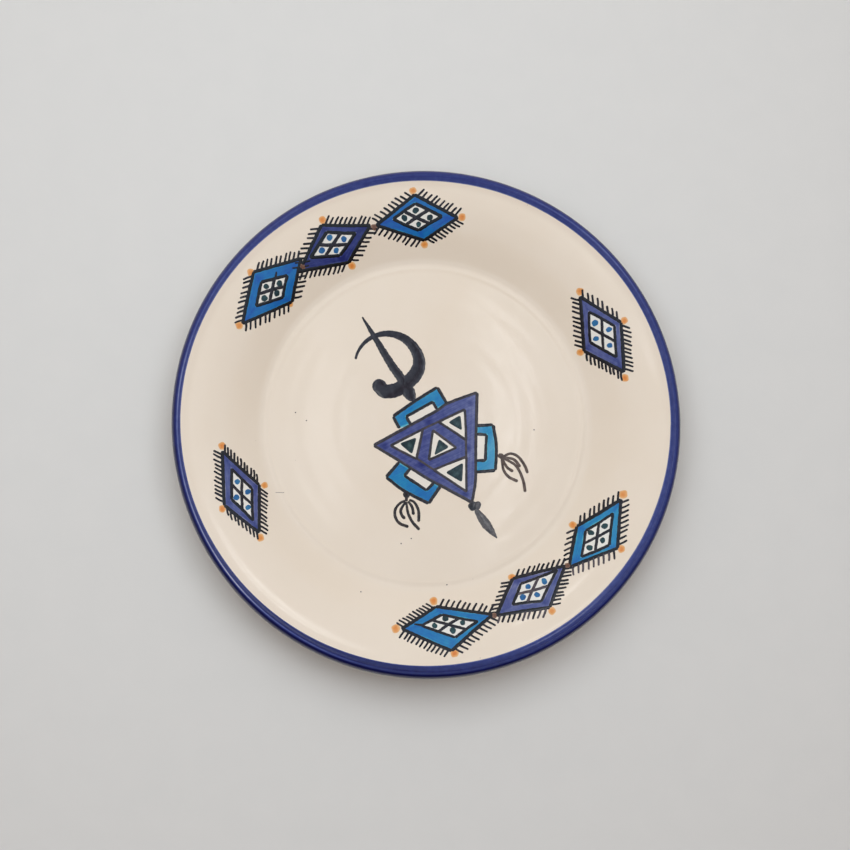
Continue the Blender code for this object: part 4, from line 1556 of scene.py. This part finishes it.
def mirrored_at(point, height, camera):
    """The place at a height whose mirror image in the glaze shows at this point of the face."""
    radius = math.hypot(*point)
    slope = np.interp(radius, FACE_RADII, np.gradient(FACE_HEIGHTS, FACE_RADII))
    steepness = slope / max(radius, SLOPE_STEP)
    normal = Vector((-steepness * point[0], -steepness * point[1], 1.0)).normalized()
    spot = Vector((point[0], point[1], np.interp(radius, FACE_RADII, FACE_HEIGHTS)))
    ray = spot - camera
    away = ray - 2.0 * ray.dot(normal) * normal
    return tuple(spot + away * ((height - spot.z) / away.z))


def add_strip(name, line, width, glow, camera):
    """A long soft light, tapered to its ends, that shows along a line on the face."""
    side = line_normals(line)
    taper = np.sin(np.linspace(0.12, math.pi - 0.12, len(line)))[:, None] ** 0.5
    edges = [line + side * width * taper, line - side * width * taper]
    vertices = [mirrored_at(point, STRIP_HEIGHT, camera) for point in np.vstack(edges)]
    count = len(line)
    faces = [(k, k + 1, count + k + 1, count + k) for k in range(count - 1)]
    add_reflector(name, vertices, faces, tuple(glow * tint for tint in STRIP_TINT))


def add_reflector(name, vertices, faces, glow, north_glow=None):
    """A glowing shape, in millimetres, that only the gloss of the glaze shows. With a second colour
    its glow changes from the first one in the south to that one in the north."""
    mesh = bpy.data.meshes.new(name)
    mesh.from_pydata([tuple(value * MM for value in vertex) for vertex in vertices], [], faces)
    material = bpy.data.materials.new(name)
    material.use_nodes = True
    tree = material.node_tree
    tree.nodes.remove(tree.nodes["Principled BSDF"])
    light = add_node(tree, "ShaderNodeEmission", None, {"Color": (*glow, 1.0)})
    if north_glow:
        place = add_node(tree, "ShaderNodeTexCoord").outputs["Object"]
        y = add_node(tree, "ShaderNodeSeparateXYZ", None, {0: place}).outputs["Y"]
        northward = remap(tree, y, -ROOM_REACH, ROOM_REACH, 0.0, 1.0)
        tree.links.new(mix_colour(tree, northward, glow, north_glow), light.inputs["Color"])
    tree.links.new(light.outputs[0], tree.nodes["Material Output"].inputs["Surface"])
    mesh.materials.append(material)
    reflector = link_object(name, mesh)
    for kind in ("camera", "diffuse", "transmission", "shadow", "volume_scatter"):
        setattr(reflector, "visible_" + kind, False)


def add_reflectors(camera):
    """The room, and the panel, the strips of light and the dim shape over the well."""
    half = ROOM_HALF
    plan = ((-half, -half), (-half, half), (half, half), (half, -half))
    corners = [(x, y, z) for z in (0.0, ROOM_HEIGHT) for x, y in plan]
    faces = [(4, 5, 6, 7)] + [(k, (k + 1) % 4, (k + 1) % 4 + 4, k + 4) for k in range(4)]
    add_reflector("room", corners, faces, *ROOM_GLOW)
    turns = np.arange(48) * (math.tau / 48)
    rim = np.stack([PANEL_RADIUS * np.cos(turns), PANEL_RADIUS * np.sin(turns)], -1)
    vertices = [mirrored_at(point, PANEL_HEIGHT, camera) for point in rim]
    add_reflector("panel", vertices, [tuple(range(len(rim)))], PANEL_GLOW)
    for number, (path, glow) in enumerate(STRIPS):
        add_strip(f"strip_{number}", catmull_rom(path, 6), STRIP_WIDTH, glow, camera)
    for number, (radius, start, end, width, glow) in enumerate(FLANGE_ARCS):
        turns = np.radians(np.linspace(start, end, 40))
        line = radius * np.stack([np.cos(turns), np.sin(turns)], -1)
        add_strip(f"flange_arc_{number}", line, width, glow, camera)
    vertices = [mirrored_at(point, SHADE_HEIGHT, camera) for point in SHADE]
    add_reflector("shade", vertices, [tuple(range(len(SHADE)))], SHADE_GLOW)


def make_key_light():
    """The one soft light: a large square, high over the plate, that the glaze doesn't mirror."""
    data = bpy.data.lights.new("key", "AREA")
    data.shape = "RECTANGLE"
    data.size = data.size_y = KEY_SIZE
    data.energy = KEY_POWER
    data.color = KEY_COLOUR
    azimuth = math.radians(KEY_AZIMUTH)
    elevation = math.radians(KEY_ELEVATION)
    level = KEY_DISTANCE * math.cos(elevation)
    place = (level * math.cos(azimuth), level * math.sin(azimuth), KEY_DISTANCE * math.sin(elevation))
    key = link_object("key", data)
    key.location = place
    key.rotation_euler = Vector(place).to_track_quat("Z", "Y").to_euler()
    key.visible_glossy = False


def make_world():
    """Pale surroundings, dimmer overhead and warmer to the south."""
    world = bpy.data.worlds.new("studio")
    bpy.context.scene.world = world
    world.use_nodes = True
    tree = world.node_tree
    background = tree.nodes["Background"]
    direction = add_node(tree, "ShaderNodeTexCoord").outputs["Generated"]
    parts = add_node(tree, "ShaderNodeSeparateXYZ", None, {0: direction}).outputs
    northward = remap(tree, parts["Y"], -1.0, 1.0, 0.0, 1.0)
    colour = mix_colour(tree, northward, WORLD_SOUTH, WORLD_NORTH)
    tree.links.new(colour, background.inputs["Color"])
    strength = remap(tree, parts["Z"], 0.0, 1.0, 1.0, WORLD_OVERHEAD)
    tree.links.new(strength, background.inputs["Strength"])


def make_studio():
    """The floor, the lights and the camera."""
    scene = bpy.context.scene
    scene.view_settings.view_transform = "Standard"
    mesh = bpy.data.meshes.new("floor")
    plan = ((-1, -1), (1, -1), (1, 1), (-1, 1))
    mesh.from_pydata([(x * FLOOR_HALF, y * FLOOR_HALF, 0.0) for x, y in plan], [], [(0, 1, 2, 3)])
    mesh.materials.append(floor_material())
    floor = link_object("floor", mesh)
    floor.location.z = -FLOOR_DROP * MM

    make_key_light()
    make_world()

    tilt = math.radians(CAMERA_TILT)
    turn = math.radians(CAMERA_AZIMUTH)
    back = Vector((math.sin(tilt) * math.cos(turn), math.sin(tilt) * math.sin(turn), math.cos(tilt)))
    right = Vector((0.0, 1.0, 0.0)).cross(back).normalized()
    up = back.cross(right)
    data = bpy.data.cameras.new("camera")
    data.sensor_fit = "HORIZONTAL"
    data.angle = math.radians(CAMERA_FIELD)
    camera = link_object("camera", data)
    place = (Vector(CAMERA_TARGET) + back * CAMERA_DISTANCE) * MM
    camera.matrix_world = Matrix.Translation(place) @ Matrix((right, up, back)).transposed().to_4x4()
    scene.camera = camera
    add_reflectors(place / MM)


def main():
    materials = make_materials()
    make_plate_skins(materials)
    make_lozenges(materials)
    slots = make_brackets(materials)
    make_lattice(materials, slots)
    make_ring_and_pin(materials)
    make_tassels(materials)
    make_marks(materials)
    make_studio()


main()
